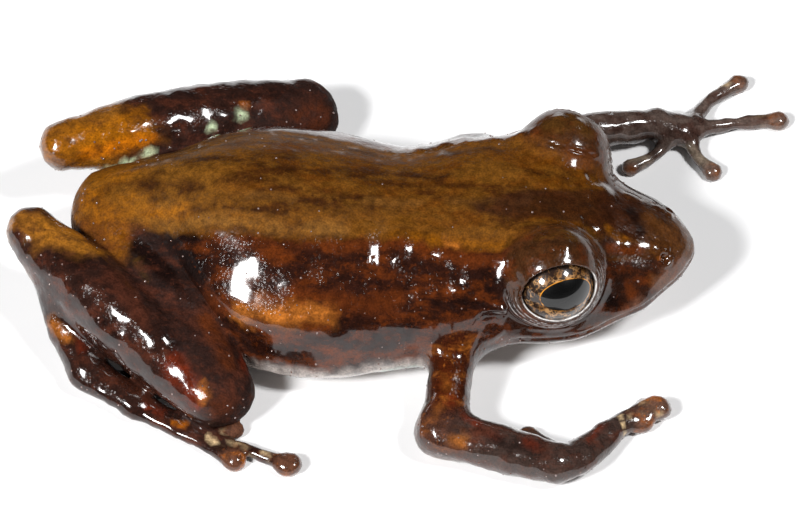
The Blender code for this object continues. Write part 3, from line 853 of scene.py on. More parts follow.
# Marks on each part: colour, share from 0 to 1, half the width that it covers, and the places of its path
MARKS = {
    "body": (
        # Streaks and paler stretches on the back
        ("streak", 0.75, 0.2, (-10.0, -0.4, 5.2), (-8.8, -0.9, 5.6), (-7.3, -1.1, 6.2)),
        ("streak", 0.8, 0.12, (-8.0, -1.3, 5.8), (-7.5, -1.4, 6.1), (-6.9, -1.4, 6.3)),
        ("streak", 0.75, 0.18, (-7.7, -0.1, 6.1), (-6.8, 0.3, 6.3), (-5.5, -0.1, 6.6), (-4.6, -0.2, 6.6)),
        ("streak", 0.8, 0.15, (-4.7, -1.7, 6.6), (-3.9, -1.4, 6.6), (-2.9, -1.4, 6.6)),
        ("streak", 0.75, 0.13, (-6.1, -2.3, 6.2), (-5.4, -2.4, 6.3), (-4.4, -2.5, 6.4), (-3.2, -2.6, 6.3)),
        ("streak", 0.75, 0.14, (-2.9, -1.9, 6.5), (-2.0, -1.7, 6.4), (-1.0, -1.5, 6.3), (-0.1, -1.2, 6.2)),
        ("streak", 0.8, 0.13, (2.0, -0.6, 6.0), (2.9, -0.8, 6.1), (3.9, -0.7, 6.1)),
        ("streak", 0.8, 0.24, (1.2, 0.6, 5.7), (2.2, 0.4, 5.9), (2.8, 0.2, 6.0)),
        ("streak", 0.7, 0.15, (-3.8, -0.3, 6.6), (-3.0, -0.3, 6.5), (-1.8, -0.1, 6.3)),
        ("streak", 0.75, 0.15, (5.1, -1.6, 6.0), (5.8, -1.6, 6.0), (6.3, -1.6, 6.0)),
        ("fawn", 0.7, 0.2, (-4.0, -3.2, 6.1), (-2.7, -3.0, 6.1), (-1.1, -3.0, 6.0)),
        ("fawn", 0.6, 0.14, (-5.1, -1.9, 6.6), (-3.2, -1.9, 6.5)),
        ("fawn", 0.6, 0.2, (-0.1, -1.4, 6.2), (0.9, -1.3, 6.1), (2.0, -1.2, 6.0)),
        ("fawn", 0.6, 0.16, (3.3, -1.0, 6.0), (4.2, -0.95, 6.1), (5.1, -0.9, 6.05)),
        ("fawn", 0.7, 0.24, (-6.8, -2.7, 5.7), (-5.8, -2.9, 6.0)),
        ("fawn", 0.7, 0.26, (-10.5, -2.3, 4.1), (-10.1, -2.6, 4.2)),
        ("gold", 0.6, 0.3, (-9.2, -1.8, 4.9), (-8.5, -2.0, 5.2), (-7.7, -2.1, 5.6)),
        ("gold", 0.8, 0.36, (-12.2, -0.4, 4.1), (-11.5, -0.9, 4.3)),
        ("gold", 0.55, 0.25, (1.2, -2.8, 5.7), (3.1, -2.9, 5.7), (4.4, -2.9, 5.7), (5.6, -2.9, 5.7)),
        # Patches on the flank
        ("ink", 1.0, 0.8, (-9.3, -3.4, 4.1), (-8.4, -3.5, 4.1), (-7.0, -4.1, 4.1)),
        ("rust", 0.75, 0.45, (-6.1, -5.2, 3.6), (-4.6, -5.6, 4.1), (-2.5, -5.6, 4.4)),
        ("amber", 0.95, 0.45, (-4.9, -5.9, 3.8), (-3.5, -6.0, 4.0), (-2.4, -6.0, 4.1), (-1.3, -5.9, 4.1)),
        ("amber", 0.5, 0.24, (-5.7, -5.2, 4.1), (-4.1, -5.5, 4.4)),
        ("rust", 0.6, 0.42, (-1.2, -5.5, 4.4), (0.8, -5.3, 4.2), (1.6, -5.1, 4.4)),
        ("rust", 0.5, 0.2, (-1.4, -3.6, 5.8), (0.6, -3.3, 5.6), (2.3, -3.1, 5.7)),
        ("rust", 0.5, 0.2, (3.6, -3.6, 5.5), (4.8, -3.6, 5.4), (5.7, -3.5, 5.3)),
        ("amber", 0.8, 0.15, (3.4, -3.1, 5.7), (3.8, -3.1, 5.7)),
        ("ink", 0.6, 0.5, (-0.6, -6.1, 3.7), (0.9, -6.1, 3.2), (2.1, -5.9, 3.4)),
        ("ink", 0.6, 0.6, (3.3, -5.0, 4.4), (4.7, -4.7, 4.5), (5.5, -4.3, 4.8)),
        ("ink", 0.6, 0.2, (-5.6, -6.1, 2.4), (-3.2, -6.8, 2.6), (-2.4, -6.9, 2.6)),
        ("silver", 0.8, 0.3, (1.2, -6.4, 1.1), (2.2, -6.3, 1.2), (3.1, -5.9, 1.4)),
        # Patches on the head
        ("olive", 0.35, 0.45, (7.2, 3.1, 6.5), (7.6, 3.4, 6.6), (8.3, 3.7, 6.6), (8.8, 3.3, 6.4)),
        ("russet", 0.4, 0.42, (7.9, 1.6, 5.8), (8.4, 2.0, 6.1), (8.9, 2.1, 5.8)),
        ("olive", 0.6, 0.3, (7.3, -2.9, 6.6), (8.0, -2.7, 6.6), (8.7, -2.8, 6.4)),
        ("ink", 0.8, 0.26, (10.9, 0.2, 4.8), (11.3, -0.2, 4.6), (11.4, -0.6, 4.5)),
        ("brown", 0.8, 0.42, (11.7, 0.2, 4.5), (12.5, -0.4, 4.1)),
        ("orange", 0.9, 0.08, (12.2, -1.4, 3.8), (12.25, -1.4, 3.75)),
        ("gold", 0.7, 0.18, (9.8, -1.0, 5.0), (10.3, -1.1, 4.7), (10.7, -1.2, 4.6)),
        ("rust", 0.8, 0.2, (10.1, -1.7, 4.6), (10.8, -1.6, 4.4), (11.4, -1.3, 4.2)),
        ("rust", 0.5, 0.22, (11.0, -2.6, 3.5), (11.2, -2.9, 3.0)),
        ("ink", 0.8, 0.3, (10.1, -3.4, 3.3), (10.6, -3.3, 2.9)),
        ("brown", 0.7, 0.26, (12.0, -2.2, 3.3), (12.6, -1.9, 2.9)),
        # Painted reflection of the floor on the snout's tip
        ("lip", 0.5, 0.4, (12.3, -2.0, 3.0), (13.0, -1.5, 3.1), (13.4, -0.8, 3.2)),
        ("lip", 0.6, 0.2, (9.5, -4.3, 2.4), (10.4, -3.7, 2.2), (11.5, -2.9, 2.7)),
        ("rust", 0.5, 0.13, (5.6, -5.1, 3.4), (6.1, -5.1, 3.0)),
        ("rust", 0.45, 0.13, (7.3, -5.0, 2.5), (8.3, -4.6, 2.2)),
    ),
    "upper_arm_right": (
        ("amber", 0.25, 0.16, (3.7, -7.6, 2.5), (3.9, -8.0, 2.3)),
        ("amber", 0.35, 0.18, (3.6, -8.9, 2.1), (3.5, -9.4, 1.9)),
        ("rust_red", 0.6, 0.2, (4.1, -8.4, 2.2), (4.0, -8.6, 2.2)),
    ),
    "forearm_right": (
        # Painted reflection of the floor over the elbow
        ("lip", 0.6, 0.3, (3.3, -9.6, 1.7), (3.9, -9.95, 1.6)),
        ("amber", 0.7, 0.2, (4.2, -10.1, 1.6), (4.7, -10.2, 1.6)),
        ("rust_red", 0.7, 0.2, (4.6, -9.1, 1.9), (5.3, -9.4, 1.9)),
        ("rust_red", 0.7, 0.18, (7.3, -10.1, 1.8), (7.7, -10.3, 1.8)),
        ("rust_red", 0.35, 0.2, (5.7, -9.8, 1.9), (6.1, -10.0, 1.9)),
        ("ink", 0.6, 0.3, (6.2, -10.2, 1.9), (7.9, -10.5, 1.7)),
    ),
    "hand_right": (
        ("rust_red", 0.6, 0.15, (9.9, -9.3, 1.3), (10.3, -8.4, 1.1)),
        ("cream", 0.5, 0.03, (10.6, -9.1, 1.1), (10.8, -8.5, 1.0), (11.0, -8.1, 0.9)),
        ("cream", 1.0, 0.07, (11.0, -7.6, 0.9), (11.2, -8.1, 0.85), (11.35, -8.5, 0.5)),
        ("cream", 0.7, 0.07, (11.8, -6.9, 0.9), (12.1, -6.8, 0.8)),
    ),
    "hand_left": (
        ("cream", 0.7, 0.14, (15.9, 9.9, 0.5), (16.2, 10.0, 0.5)),
        ("cream", 0.6, 0.14, (14.3, 11.5, 0.5), (14.5, 11.6, 0.6)),
        ("pale", 0.8, 0.26, (12.9, 7.9, 0.4), (13.5, 7.3, 0.5), (13.9, 7.1, 0.5)),
        ("pale", 0.8, 0.26, (11.2, 7.0, 0.5), (10.6, 6.8, 0.5)),
    ),
    "shank_left": (
        ("gold", 0.9, 0.9, (-13.6, 2.1, 4.0), (-12.3, 2.6, 4.2), (-11.2, 3.0, 4.1), (-10.5, 3.3, 4.1)),
        ("orange", 0.5, 0.3, (-12.5, 2.2, 3.7), (-11.5, 2.6, 3.8), (-10.9, 2.9, 3.8), (-10.3, 3.2, 3.8)),
        ("pale_line", 0.95, 0.16)
        + ((-11.7, 2.4, 2.7), (-10.9, 2.65, 3.0), (-10.0, 3.0, 3.25), (-9.7, 3.15, 3.35)),
        ("cream", 0.8, 0.12, (-12.0, 2.5, 2.5), (-11.6, 2.5, 2.8)),
        ("pale_line", 0.95, 0.2, (-6.15, 5.4, 3.35), (-6.05, 5.45, 3.35)),
        ("pale_line", 0.95, 0.2, (-7.45, 4.45, 3.4), (-7.35, 4.5, 3.4)),
        ("orange", 0.6, 0.15, (-6.1, 5.75, 3.6), (-6.0, 5.8, 3.6)),
        ("orange", 0.6, 0.15, (-9.9, 3.3, 3.8), (-9.7, 3.4, 3.8)),
    ),
    "thigh_left": (
        ("russet", 0.7, 0.6, (-3.0, 6.7, 2.4), (-3.9, 6.5, 2.7)),
    ),
    "shank_right": (
        ("heel", 0.95, 0.7, (-14.5, -2.1, 3.8), (-13.3, -2.6, 4.3), (-12.4, -2.9, 4.5), (-11.5, -3.2, 4.6)),
        ("brown", 0.6, 0.18, (-14.7, -1.6, 4.1), (-13.6, -1.4, 4.5), (-12.6, -1.5, 4.6)),
        ("limb_rust", 0.6, 0.42, (-10.4, -4.9, 4.2), (-9.6, -5.8, 4.0), (-9.1, -6.6, 3.8)),
        ("rust_red", 0.7, 0.45, (-7.5, -8.3, 3.0), (-6.8, -9.0, 2.6), (-6.4, -9.4, 2.2)),
        ("amber", 0.7, 0.2, (-6.2, -9.0, 2.6), (-6.1, -9.5, 2.3)),
        ("ink", 0.7, 0.3, (-12.7, -4.0, 4.3), (-11.6, -4.3, 4.3)),
        ("ink", 0.6, 0.3, (-10.8, -6.6, 3.3), (-10.1, -7.1, 3.1)),
        ("ink", 0.6, 0.3, (-8.2, -7.0, 3.6), (-7.5, -7.5, 3.3)),
        ("russet", 0.6, 0.42, (-5.6, -9.6, 2.1), (-5.1, -9.3, 2.1)),
    ),
    "thigh_right": (
        ("ink", 0.95, 0.7, (-9.4, -3.4, 3.9), (-8.2, -4.3, 3.6)),
        ("olive", 0.5, 0.16, (-9.6, -3.7, 3.9), (-8.9, -4.5, 3.7)),
        ("rust", 0.7, 0.42, (-6.4, -6.0, 3.2), (-5.7, -7.0, 2.8), (-5.4, -7.8, 2.6)),
        ("rust_red", 0.7, 0.2, (-4.8, -6.5, 2.1), (-4.6, -7.8, 2.2)),
    ),
    "foot_right": (
        ("amber", 0.8, 0.2, (-14.2, -3.5, 2.8), (-14.0, -3.8, 2.5)),
        ("amber", 0.65, 0.25, (-13.0, -5.6, 1.9), (-12.3, -6.3, 1.8)),
        ("rust_red", 0.6, 0.15, (-11.9, -6.1, 1.8), (-11.6, -6.7, 1.6)),
        ("ink", 0.8, 0.25, (-10.6, -7.0, 0.9), (-9.5, -7.8, 1.0)),
        ("ink", 0.7, 0.25, (-13.7, -4.5, 2.2), (-13.3, -5.4, 2.0)),
        ("orange", 0.7, 0.13, (-7.4, -9.4, 0.7), (-7.0, -9.6, 0.7)),
        ("cream", 0.95, 0.13, (-5.9, -10.0, 0.5), (-5.6, -10.3, 0.5)),
        ("cream", 0.9, 0.09, (-3.6, -10.6, 0.6), (-3.5, -10.7, 0.6)),
        ("rust_red", 0.7, 0.15, (-8.7, -8.8, 0.8), (-8.0, -9.0, 0.7)),
    ),
}

# Marks that keep their own colour, with little mottling over it
CLEAR_MARKS = ("ink", "streak", "brown", "cream", "pale", "pale_line", "lip", "silver")


def lay(colour, name, share):
    """Lays a colour over the skin by a share from 0 to 1 at each point."""
    return colour + share[:, None] * (COLOURS[name] - colour)


class Tint:
    """The skin's colour at each point, the colour of its mottling, and how much of it that covers."""

    def __init__(self, skin):
        count = len(skin.points)
        self.skin = skin
        self.wide = rough(skin.points, 1.1, 2.7)
        self.fine = rough(skin.points, 0.4, 4.4)
        self.ground = np.tile(COLOURS["limb"], (count, 1))
        self.mottle = np.tile(COLOURS["limb_rust"], (count, 1))
        self.cover = np.full(count, 0.3)

    def lay(self, name, share, mottle=None, cover=None):
        self.ground = lay(self.ground, name, share)
        if mottle:
            self.mottle = lay(self.mottle, mottle, share)
        if cover is not None:
            self.cover = self.cover + share * (cover - self.cover)

    def marks(self, part, shade):
        """Lays a part's marks with uneven edges, those that aren't clear mottled with a shade."""
        there = self.skin.parts[part]
        near = np.where(there > 0.02)[0]
        uneven_edge = 1 + 0.45 * self.fine[near] + 0.35 * self.wide[near]
        for colour, most, width, *path in MARKS[part]:
            gap = distance_to_line(self.skin.points[near], path)
            share = np.zeros(len(self.skin.points))
            share[near] = most * there[near] * ramp(gap / (width * uneven_edge), 1.6, 0.5)
            clear = colour in CLEAR_MARKS
            self.lay(colour, share, None if clear else shade, 0.18 if clear else 0.3)


def upper_side(skin):
    return skin.parts["body"] * ramp(skin.facing_up, -0.05, 0.3) * ramp(skin.z, 2.6, 3.4)


def paint_sides(tint):
    """Dark flanks, a golden rump, a pale belly and dark cheeks."""
    skin, body = tint.skin, tint.skin.parts["body"]
    tint.lay("flank", body, "rust", 0.33)
    tint.lay("ink", body * ramp(skin.x, -6.2, -7.4) * 0.85, cover=0.12)
    rump = (body + skin.parts["thigh_right"] + skin.parts["thigh_left"]) * ramp(skin.z, 2.6, 3.3)
    tint.lay("gold", rump * ramp(skin.x + 0.3 * tint.wide, -9.7, -10.5) * 0.75, "bark", 0.45)
    belly = ramp(skin.z + 0.4 * tint.fine - 0.3 * bell(skin.x - 2.2, 2.4), 2.0, 1.2)
    below = ramp(skin.facing_up, -0.4, -0.75)
    tint.lay("belly", body * np.maximum(belly, below) * 0.9, "belly", 0.1)
    tint.lay("cheek", body * ramp(skin.x, 5.4, 6.4) * (1 - belly), "russet", 0.3)


def paint_back(tint):
    """The streaked tan back, fawn along its edges, with rust under them; gives the back's share."""
    skin = tint.skin
    past = from_tan_edge(skin) - 0.1 * tint.wide - 0.07 * tint.fine
    above = upper_side(skin)
    under = bell(past - 0.25, 0.2) * ramp(np.abs(skin.x), 7.0, 5.8)
    tint.lay("rust", above * under * 0.35)
    back = ramp(past, 0.13, -0.13) * above
    tint.lay("bark", back, "tan", 0.4)
    tint.lay("tan", back * ramp(skin.x, -4.0, -8.0))
    strip = bell(past + 0.55, 0.5) * ramp(skin.x, 6.8, 5.6) * (1 - 0.5 * ramp(skin.x, -0.5, 2.5))
    tint.lay("fawn", strip * back * 0.75, "bark", 0.3)
    tint.lay("gold", back * ramp(skin.x, -9.0, -10.5) * 0.6)
    streaks = ramp(rough(skin.points * (0.14, 1, 1), 0.5, 8.8), 0.0, 0.25)
    tint.lay("streak", back * streaks * 0.75)
    return back


def paint_head(tint, back):
    """The dark snout, the band over the crown, and the lids."""
    skin, body = tint.skin, tint.skin.parts["body"]
    tint.lay("cheek", ramp(skin.x, 9.2, 9.9) * back * 0.85, "brown", 0.3)
    tint.lay("brown", ramp(skin.x, 12.1, 12.9) * body * 0.6)
    places, right, left = zip(*CROWN_BAND)
    inside = np.minimum(skin.y - along(right, places, skin.x), along(left, places, skin.x) - skin.y)
    band = ramp(inside + 0.08 * tint.fine, -0.12, 0.12) * ramp(skin.x, 3.8, 4.6) * ramp(skin.x, 11.9, 11.3)
    tint.lay("band", band * upper_side(skin) * 0.85, "flank", 0.4)
    for side in (1, -1):
        outward = eye_place(skin.points, side)[2]
        on_lid = ramp(skin.from_lid(side), 0.35, 0.15) * ramp(outward, -0.9, 0.3)
        tint.lay("lid", body * on_lid * 0.85, "russet", 0.25)


def paint_digits(tint, side):
    """Pads in their own colour, with a broken pale ring behind each."""
    skin = tint.skin
    for part, digit in digits_of(side):
        from_tip = skin.from_place(digit.tip)
        tint.lay("disc", ramp(from_tip, digit.disc * 1.3, digit.disc) * 0.9, "orange", 0.2)
        ring = bell(from_tip - digit.disc * 1.6, 0.06) * ramp(tint.fine, -0.1, 0.1)
        tint.lay("cream", ring * skin.parts[part] * ramp(skin.facing_up, -0.2, 0.3) * 0.7)


def paint_limbs(tint):
    """Arms and legs over the dark ground, with their marks."""
    skin = tint.skin
    sideways = ramp(np.abs(skin.normals[:, 0]), 0.5, 0.85)
    for side in ("right", "left"):
        tint.lay("arm", skin.parts["upper_arm_" + side] * (1 - 0.7 * sideways), "amber", 0.2)
        paint_digits(tint, side)
    tint.lay("far_arm_and_sheen", (skin.parts["forearm_left"] + skin.parts["hand_left"]) * 0.7, "limb", 0.4)
    # Painted greyish reflection over the near forearm and hand
    tint.lay("far_arm_and_sheen", (skin.parts["forearm_right"] + skin.parts["hand_right"]) * 0.2)
    heel = ramp(skin.x + 0.25 * tint.wide, -10.9, -11.6) * skin.parts["shank_left"]
    tint.lay("heel", heel * 0.6, "brown", 0.3)
    tint.lay("belly", ramp(skin.facing_up, -0.3, -0.8) * (1 - skin.parts["body"]) * 0.3)
    for part in MARKS:
        if part != "body":
            tint.marks(part, "limb")


def paint_trunk(tint):
    paint_sides(tint)
    paint_head(tint, paint_back(tint))
    tint.marks("body", "flank")


def thinned(mesh, triangles):
    """Merges points where the skin is plainest until that many triangles are left."""
    obj = shown(mesh, "skin")
    group = obj.vertex_groups.new(name="kept")
    points = points_of(mesh)
    fine = near_eyes(points, FINE_REACH - 0.6, FINE_REACH - 0.3)
    head = ramp(points[:, 0], 8.0, 9.0) * ramp(np.abs(points[:, 1]), 4.5, 4.0)
    levels = np.round(np.maximum(fine, 0.25 + 0.3 * head) * KEPT_LEVELS).astype(int)
    for level in np.unique(levels):
        group.add(np.where(levels == level)[0].tolist(), level / KEPT_LEVELS, "REPLACE")
    before = sum(len(face.vertices) - 2 for face in mesh.polygons)
    thin = obj.modifiers.new("thin", "DECIMATE")
    thin.ratio = min(1.0, triangles / before)
    thin.vertex_group = group.name
    thin.invert_vertex_group = True
    thin.vertex_group_factor = 1.0
    made = made_real(obj)
    obj.modifiers.clear()
    obj.data = made
    obj.vertex_groups.clear()
    print("skin: triangles before and after thinning", before, len(made.polygons))
    return obj


def add_colour(mesh, name, values):
    layer = mesh.color_attributes.new(name, "FLOAT_COLOR", "POINT")
    whole = np.concatenate([values, np.ones((len(values), 1))], 1)
    layer.data.foreach_set("color", np.clip(whole, 0, 1).astype(np.float32).ravel())


def add_number(mesh, name, values):
    layer = mesh.attributes.new(name, "FLOAT", "POINT")
    layer.data.foreach_set("value", values.astype(np.float32))


# Pairs of parts that press together: the skin between them shows no light
CREASES = (
    ("body", "thigh_right"),
    ("body", "thigh_left"),
    ("thigh_left", "shank_left"),
    ("thigh_right", "shank_right"),
)


def dullness(skin):
    """How dry the back and the lids look, and the folds behind the limbs."""
    body = skin.parts["body"]
    past = from_tan_edge(skin) + 0.35 * bell(skin.x - 1.9, 2.4)
    back = body * ramp(past, 0.1, -0.15) * ramp(skin.facing_up, 0.15, 0.45)
    spots = ramp(rough(skin.points * (0.6, 1, 1), 0.3, 6.6), 0.3, 0.45)
    dull = back * (0.93 - 0.4 * ramp(skin.x, 6.0, 8.0)) * (1 - 0.4 * spots)
    for side in (1, -1):
        on_lid = ramp(skin.from_lid(side), 0.3, 0.1) * ramp(skin.facing_up, 0.0, 0.4)
        dull = np.maximum(dull, 0.4 * body * on_lid)
    for first, second in CREASES:
        apart = np.abs(skin.gaps[first] - skin.gaps[second])
        near = np.minimum(skin.gaps[first], skin.gaps[second])
        dull = np.maximum(dull, ramp(apart, 0.9, 0.45) * ramp(near, 1.2, 0.6))
    return dull


def wetness(skin):
    """How wet the skin looks: least on the back, but wet on its warts, spots and folds."""
    dull = dullness(skin)
    for side in (1, -1):
        for place in TUBERCLES:
            dull = dull * ramp(skin.from_place(place, side), 0.3, 0.7)
        for _, width, line in FOLDS:
            dull = dull * ramp(skin.from_line(line, side), width, 2 * width)
        for width, *place in SNOUT_SPOTS:
            dull = dull * ramp(skin.from_place(place, side), width, 2 * width)
    return 1 - dull


def keep_lid_places(mesh, skin):
    """Keeps, round both eyes, how far each point is outside the opening and how low on the lid."""
    gaps, lower = np.full(len(skin.points), 2.0), np.zeros(len(skin.points))
    for side in (1, -1):
        forward, upward, outward = eye_place(skin.points, side)
        near = (skin.from_place(EYE_CENTRE, side) < 2.9) & (outward > -0.3)
        gaps[near] = from_opening(forward, upward)[near]
        lower[near] = ramp(upward - 0.45 * np.maximum(forward, 0), 0.15, -0.35)[near]
    add_number(mesh, "from_opening", gaps)
    add_number(mesh, "lower_lid", lower)


def keep_finish(mesh, skin):
    """Keeps the skin's colours, its wetness and the share of grains on the mesh."""
    tint = Tint(skin)
    paint_limbs(tint)
    paint_trunk(tint)
    add_colour(mesh, "skin_colour", tint.ground)
    add_colour(mesh, "mottle_colour", tint.mottle)
    add_number(mesh, "mottle_cover", tint.cover)
    bare = ramp(skin.z, 0.25, 0.6) * (1 - near_eyes(skin.points, 2.4, 2.8))
    add_number(mesh, "granule_share", bare * (0.15 + 0.85 * ramp(skin.facing_up, 0.9, 0.6)))
    add_number(mesh, "wetness", wetness(skin))
    keep_lid_places(mesh, skin)


def skin_mesh(tubes):
    """The whole skin as one piece, its snout and the lids smoothed before the relief is raised."""
    points, faces = skin_field(tubes).surface()
    mesh = mesh_named("skin", points, faces)
    keep_largest(mesh)
    relaxed(mesh, 2)
    x, y, _ = points_of(mesh).T
    relaxed(mesh, 100, only=ramp(x, 11.6, 12.4) * ramp(np.abs(y), 4.6, 3.8))
    refined(mesh)
    relaxed(mesh, 4, only=near_eyes(points_of(mesh), FINE_REACH - 0.4, FINE_REACH))
    skin = Skin(mesh, tubes)
    places = skin.points + skin.normals * skin_relief(skin)[:, None]
    places[:, 2] = np.maximum(places[:, 2], 0)
    set_points(mesh, places)
    obj = thinned(mesh, SKIN_TRIANGLES)
    keep_finish(obj.data, Skin(obj.data, tubes))
    obj.data.shade_smooth()
    return obj


def to_row(mesh):
    """Sets a mesh from millimetres in the frog's frame to metres in the row frame."""
    mesh.transform(Matrix.Scale(METRES, 4) @ Matrix.Translation(Vector(-BOX_MIDDLE)))


class Value:
    """A value on its way through a node tree: sums on it become Math nodes."""

    def __init__(self, tree, socket):
        self.tree, self.socket = tree, socket

    def output(self, name):
        """Another output of the node that gives this value."""
        return Value(self.tree, self.socket.node.outputs[name])

    def maths(self, operation, *others):
        return self.tree.node("ShaderNodeMath", dict(enumerate((self, *others))), operation=operation)

    def __add__(self, other):
        return self.maths("ADD", other)

    def __sub__(self, other):
        return self.maths("SUBTRACT", other)

    def __mul__(self, other):
        return self.maths("MULTIPLY", other)

    def band(self, middle, half):
        """1 at a middle value, and 0 beyond half the band's width."""
        return (self - middle).maths("ABSOLUTE").between(half, 0.0)

    def between(self, low, high, to_low=0.0, to_high=1.0):
        """Runs smoothly from to_low at low to to_high at high."""
        ends = {"From Min": low, "From Max": high, "To Min": to_low, "To Max": to_high}
        return self.tree.node("ShaderNodeMapRange", {"Value": self, **ends}, interpolation_type="SMOOTHSTEP")


class Tree:
    """A node tree under way: nodes are made from a type, settings, and values or links of sockets."""

    def __init__(self, tree):
        self.tree = tree

    def node(self, kind, sockets, output=0, **settings):
        made = self.tree.nodes.new(kind)
        for name, value in settings.items():
            setattr(made, name, value)
        for key, value in sockets.items():
            if isinstance(value, Value):
                self.tree.links.new(value.socket, made.inputs[key])
            else:
                made.inputs[key].default_value = value
        return Value(self, made.outputs[output])


class Builder(Tree):
    """A Geometry Nodes tree with named inputs, which ends in realized faces of one material."""

    def __init__(self, name):
        super().__init__(bpy.data.node_groups.new(name, "GeometryNodeTree"))
        self.inputs = self.tree.nodes.new("NodeGroupInput")
        self.outputs = self.tree.nodes.new("NodeGroupOutput")
        self.identifiers = {}

    def input(self, name, kind):
        socket = self.tree.interface.new_socket(name, in_out="INPUT", socket_type=kind)
        self.identifiers[name] = socket.identifier
        return Value(self, self.inputs.outputs[name])

    def end(self, shape, material):
        real = self.node("GeometryNodeRealizeInstances", {0: shape})
        smooth = self.node("GeometryNodeSetShadeSmooth", {"Geometry": real})
        cover = self.node("GeometryNodeSetMaterial", {"Geometry": smooth, "Material": material})
        self.tree.interface.new_socket("Geometry", in_out="OUTPUT", socket_type="NodeSocketGeometry")
        self.tree.links.new(cover.socket, self.outputs.inputs["Geometry"])

    def applied(self, obj, name, **values):
        """Runs the tree on an object's mesh, and gives the result as a plain new mesh."""
        modifier = obj.modifiers.new("made", "NODES")
        modifier.node_group = self.tree
        for key, value in values.items():
            modifier[self.identifiers[key]] = value
        mesh = made_real(obj)
        obj.modifiers.remove(modifier)
        mesh.name = name
        return mesh


def granules(skin, material):
    """Grains of skin, scattered thickest over the flanks and limbs; the pale ones' tint is partly a painted
    glint on their tips.
    """
    make = Builder("granules")
    surface = make.input("Geometry", "NodeSocketGeometry")
    density = make.input("Density", "NodeSocketFloat")
    smallest = make.input("Smallest", "NodeSocketFloat")
    largest = make.input("Largest", "NodeSocketFloat")
    seed = make.input("Seed", "NodeSocketInt")
    share = make.node("GeometryNodeInputNamedAttribute", {"Name": "granule_share"}, data_type="FLOAT")
    spread = {"Mesh": surface, "Density": density * share, "Seed": seed}
    scatter = make.node("GeometryNodeDistributePointsOnFaces", spread)
    grain = make.node("GeometryNodeMeshUVSphere", {"Segments": 8, "Rings": 5, "Radius": 1.0})
    ends = {2: smallest, 3: largest, "Seed": seed}
    size = make.node("FunctionNodeRandomValue", ends, output=1, data_type="FLOAT")
    round_size = make.node("ShaderNodeCombineXYZ", {0: size, 1: size, 2: size})
    squat = make.node("ShaderNodeVectorMath", {0: round_size, 1: (1.0, 1.0, 0.7)}, operation="MULTIPLY")
    placed = {"Points": scatter, "Instance": grain, "Rotation": scatter.output("Rotation"), "Scale": squat}
    make.end(make.node("GeometryNodeInstanceOnPoints", placed), material)
    mesh = make.applied(skin, "granules", Density=1.3, Smallest=0.028, Largest=0.055, Seed=7)
    return shown(mesh, "granules")


class Finish(Tree):
    """A material, and the nodes that make it."""

    def __init__(self, name, **constants):
        self.material = bpy.data.materials.new(name)
        self.material.use_nodes = True
        super().__init__(self.material.node_tree)
        self.shader = self.tree.nodes["Principled BSDF"]
        for socket, value in constants.items():
            self.shader.inputs[socket.replace("_", " ")].default_value = value

    def place(self):
        """The point of the surface, in millimetres."""
        spot = self.node("ShaderNodeTexCoord", {}, output="Object")
        return self.node("ShaderNodeVectorMath", {0: spot, "Scale": 1 / METRES}, operation="SCALE")

    def kept(self, name, output):
        """An attribute that the mesh keeps at each point."""
        return self.node("ShaderNodeAttribute", {}, output=output, attribute_name=name)

    def noise(self, place, per_mm, detail=2.0, **sockets):
        values = {"Vector": place, "Scale": per_mm, "Detail": detail, **sockets}
        return self.node("ShaderNodeTexNoise", values)

    def cells(self, place, per_mm, **settings):
        return self.node("ShaderNodeTexVoronoi", {"Vector": place, "Scale": per_mm}, **settings)

    def mix(self, share, first, second, **settings):
        sockets = {0: share, 6: first, 7: second}
        return self.node("ShaderNodeMix", sockets, output=2, data_type="RGBA", **settings)

    def shaded(self, colour, shade):
        """A colour made darker or lighter by a value round 1."""
        grey = self.node("ShaderNodeCombineColor", {0: shade, 1: shade, 2: shade})
        return self.mix(1.0, colour, grey, blend_type="MULTIPLY")

    def feed(self, **values):
        for socket, value in values.items():
            self.tree.links.new(value.socket, self.shader.inputs[socket.replace("_", " ")])


# Colours that only the shaders lay: painted highlights along the lids' folds and wet rim, grains of skin,
# the eye's, floor and sky
LID_GLINT = (0.72, 0.71, 0.7, 1)
GRAIN_DARK = (0.1, 0.045, 0.03, 1)
# Pale grains, their tint partly a painted glint on their tips
GRAIN_PALE_GLINT = (0.22, 0.16, 0.15, 1)
IRIS_DARK = (0.014, 0.006, 0.003, 1)
IRIS_BROWN = (0.17, 0.075, 0.02, 1)
IRIS_TAN = (0.38, 0.2, 0.075, 1)
RING_BROWN = (0.08, 0.03, 0.006, 1)
RING_GOLD = (0.62, 0.24, 0.015, 1)
PUPIL_BLACK = (0.001, 0.001, 0.001, 1)
EYE_EDGE = (0.01, 0.006, 0.005, 1)
FLOOR_WHITE = (0.94, 0.94, 0.945, 1)
SKY_WHITE = (0.95, 0.97, 1.0, 1)

# How deep the skin's finest bumps are, in millimetres
SKIN_BUMP = 0.015


def skin_colour(finish, place):
    """The kept ground colour, with its mottling and flecks."""
    ground = finish.kept("skin_colour", "Color")
    mottle = finish.kept("mottle_colour", "Color")
    cover = finish.kept("mottle_cover", "Fac")
    stretched = finish.node("ShaderNodeVectorMath", {0: place, 1: (0.5, 1, 1)}, operation="MULTIPLY")
    patches = finish.noise(stretched, 1.4, 6.0, Roughness=0.6)
    covered = (patches + cover * 0.6).between(0.62, 0.88)
    flecks = (finish.noise(place, 5.5, 3.0) + cover * 0.3).between(0.66, 0.76)
    colour = finish.mix(covered * 0.75, ground, mottle)
    return finish.mix(flecks * 0.3, colour, mottle)


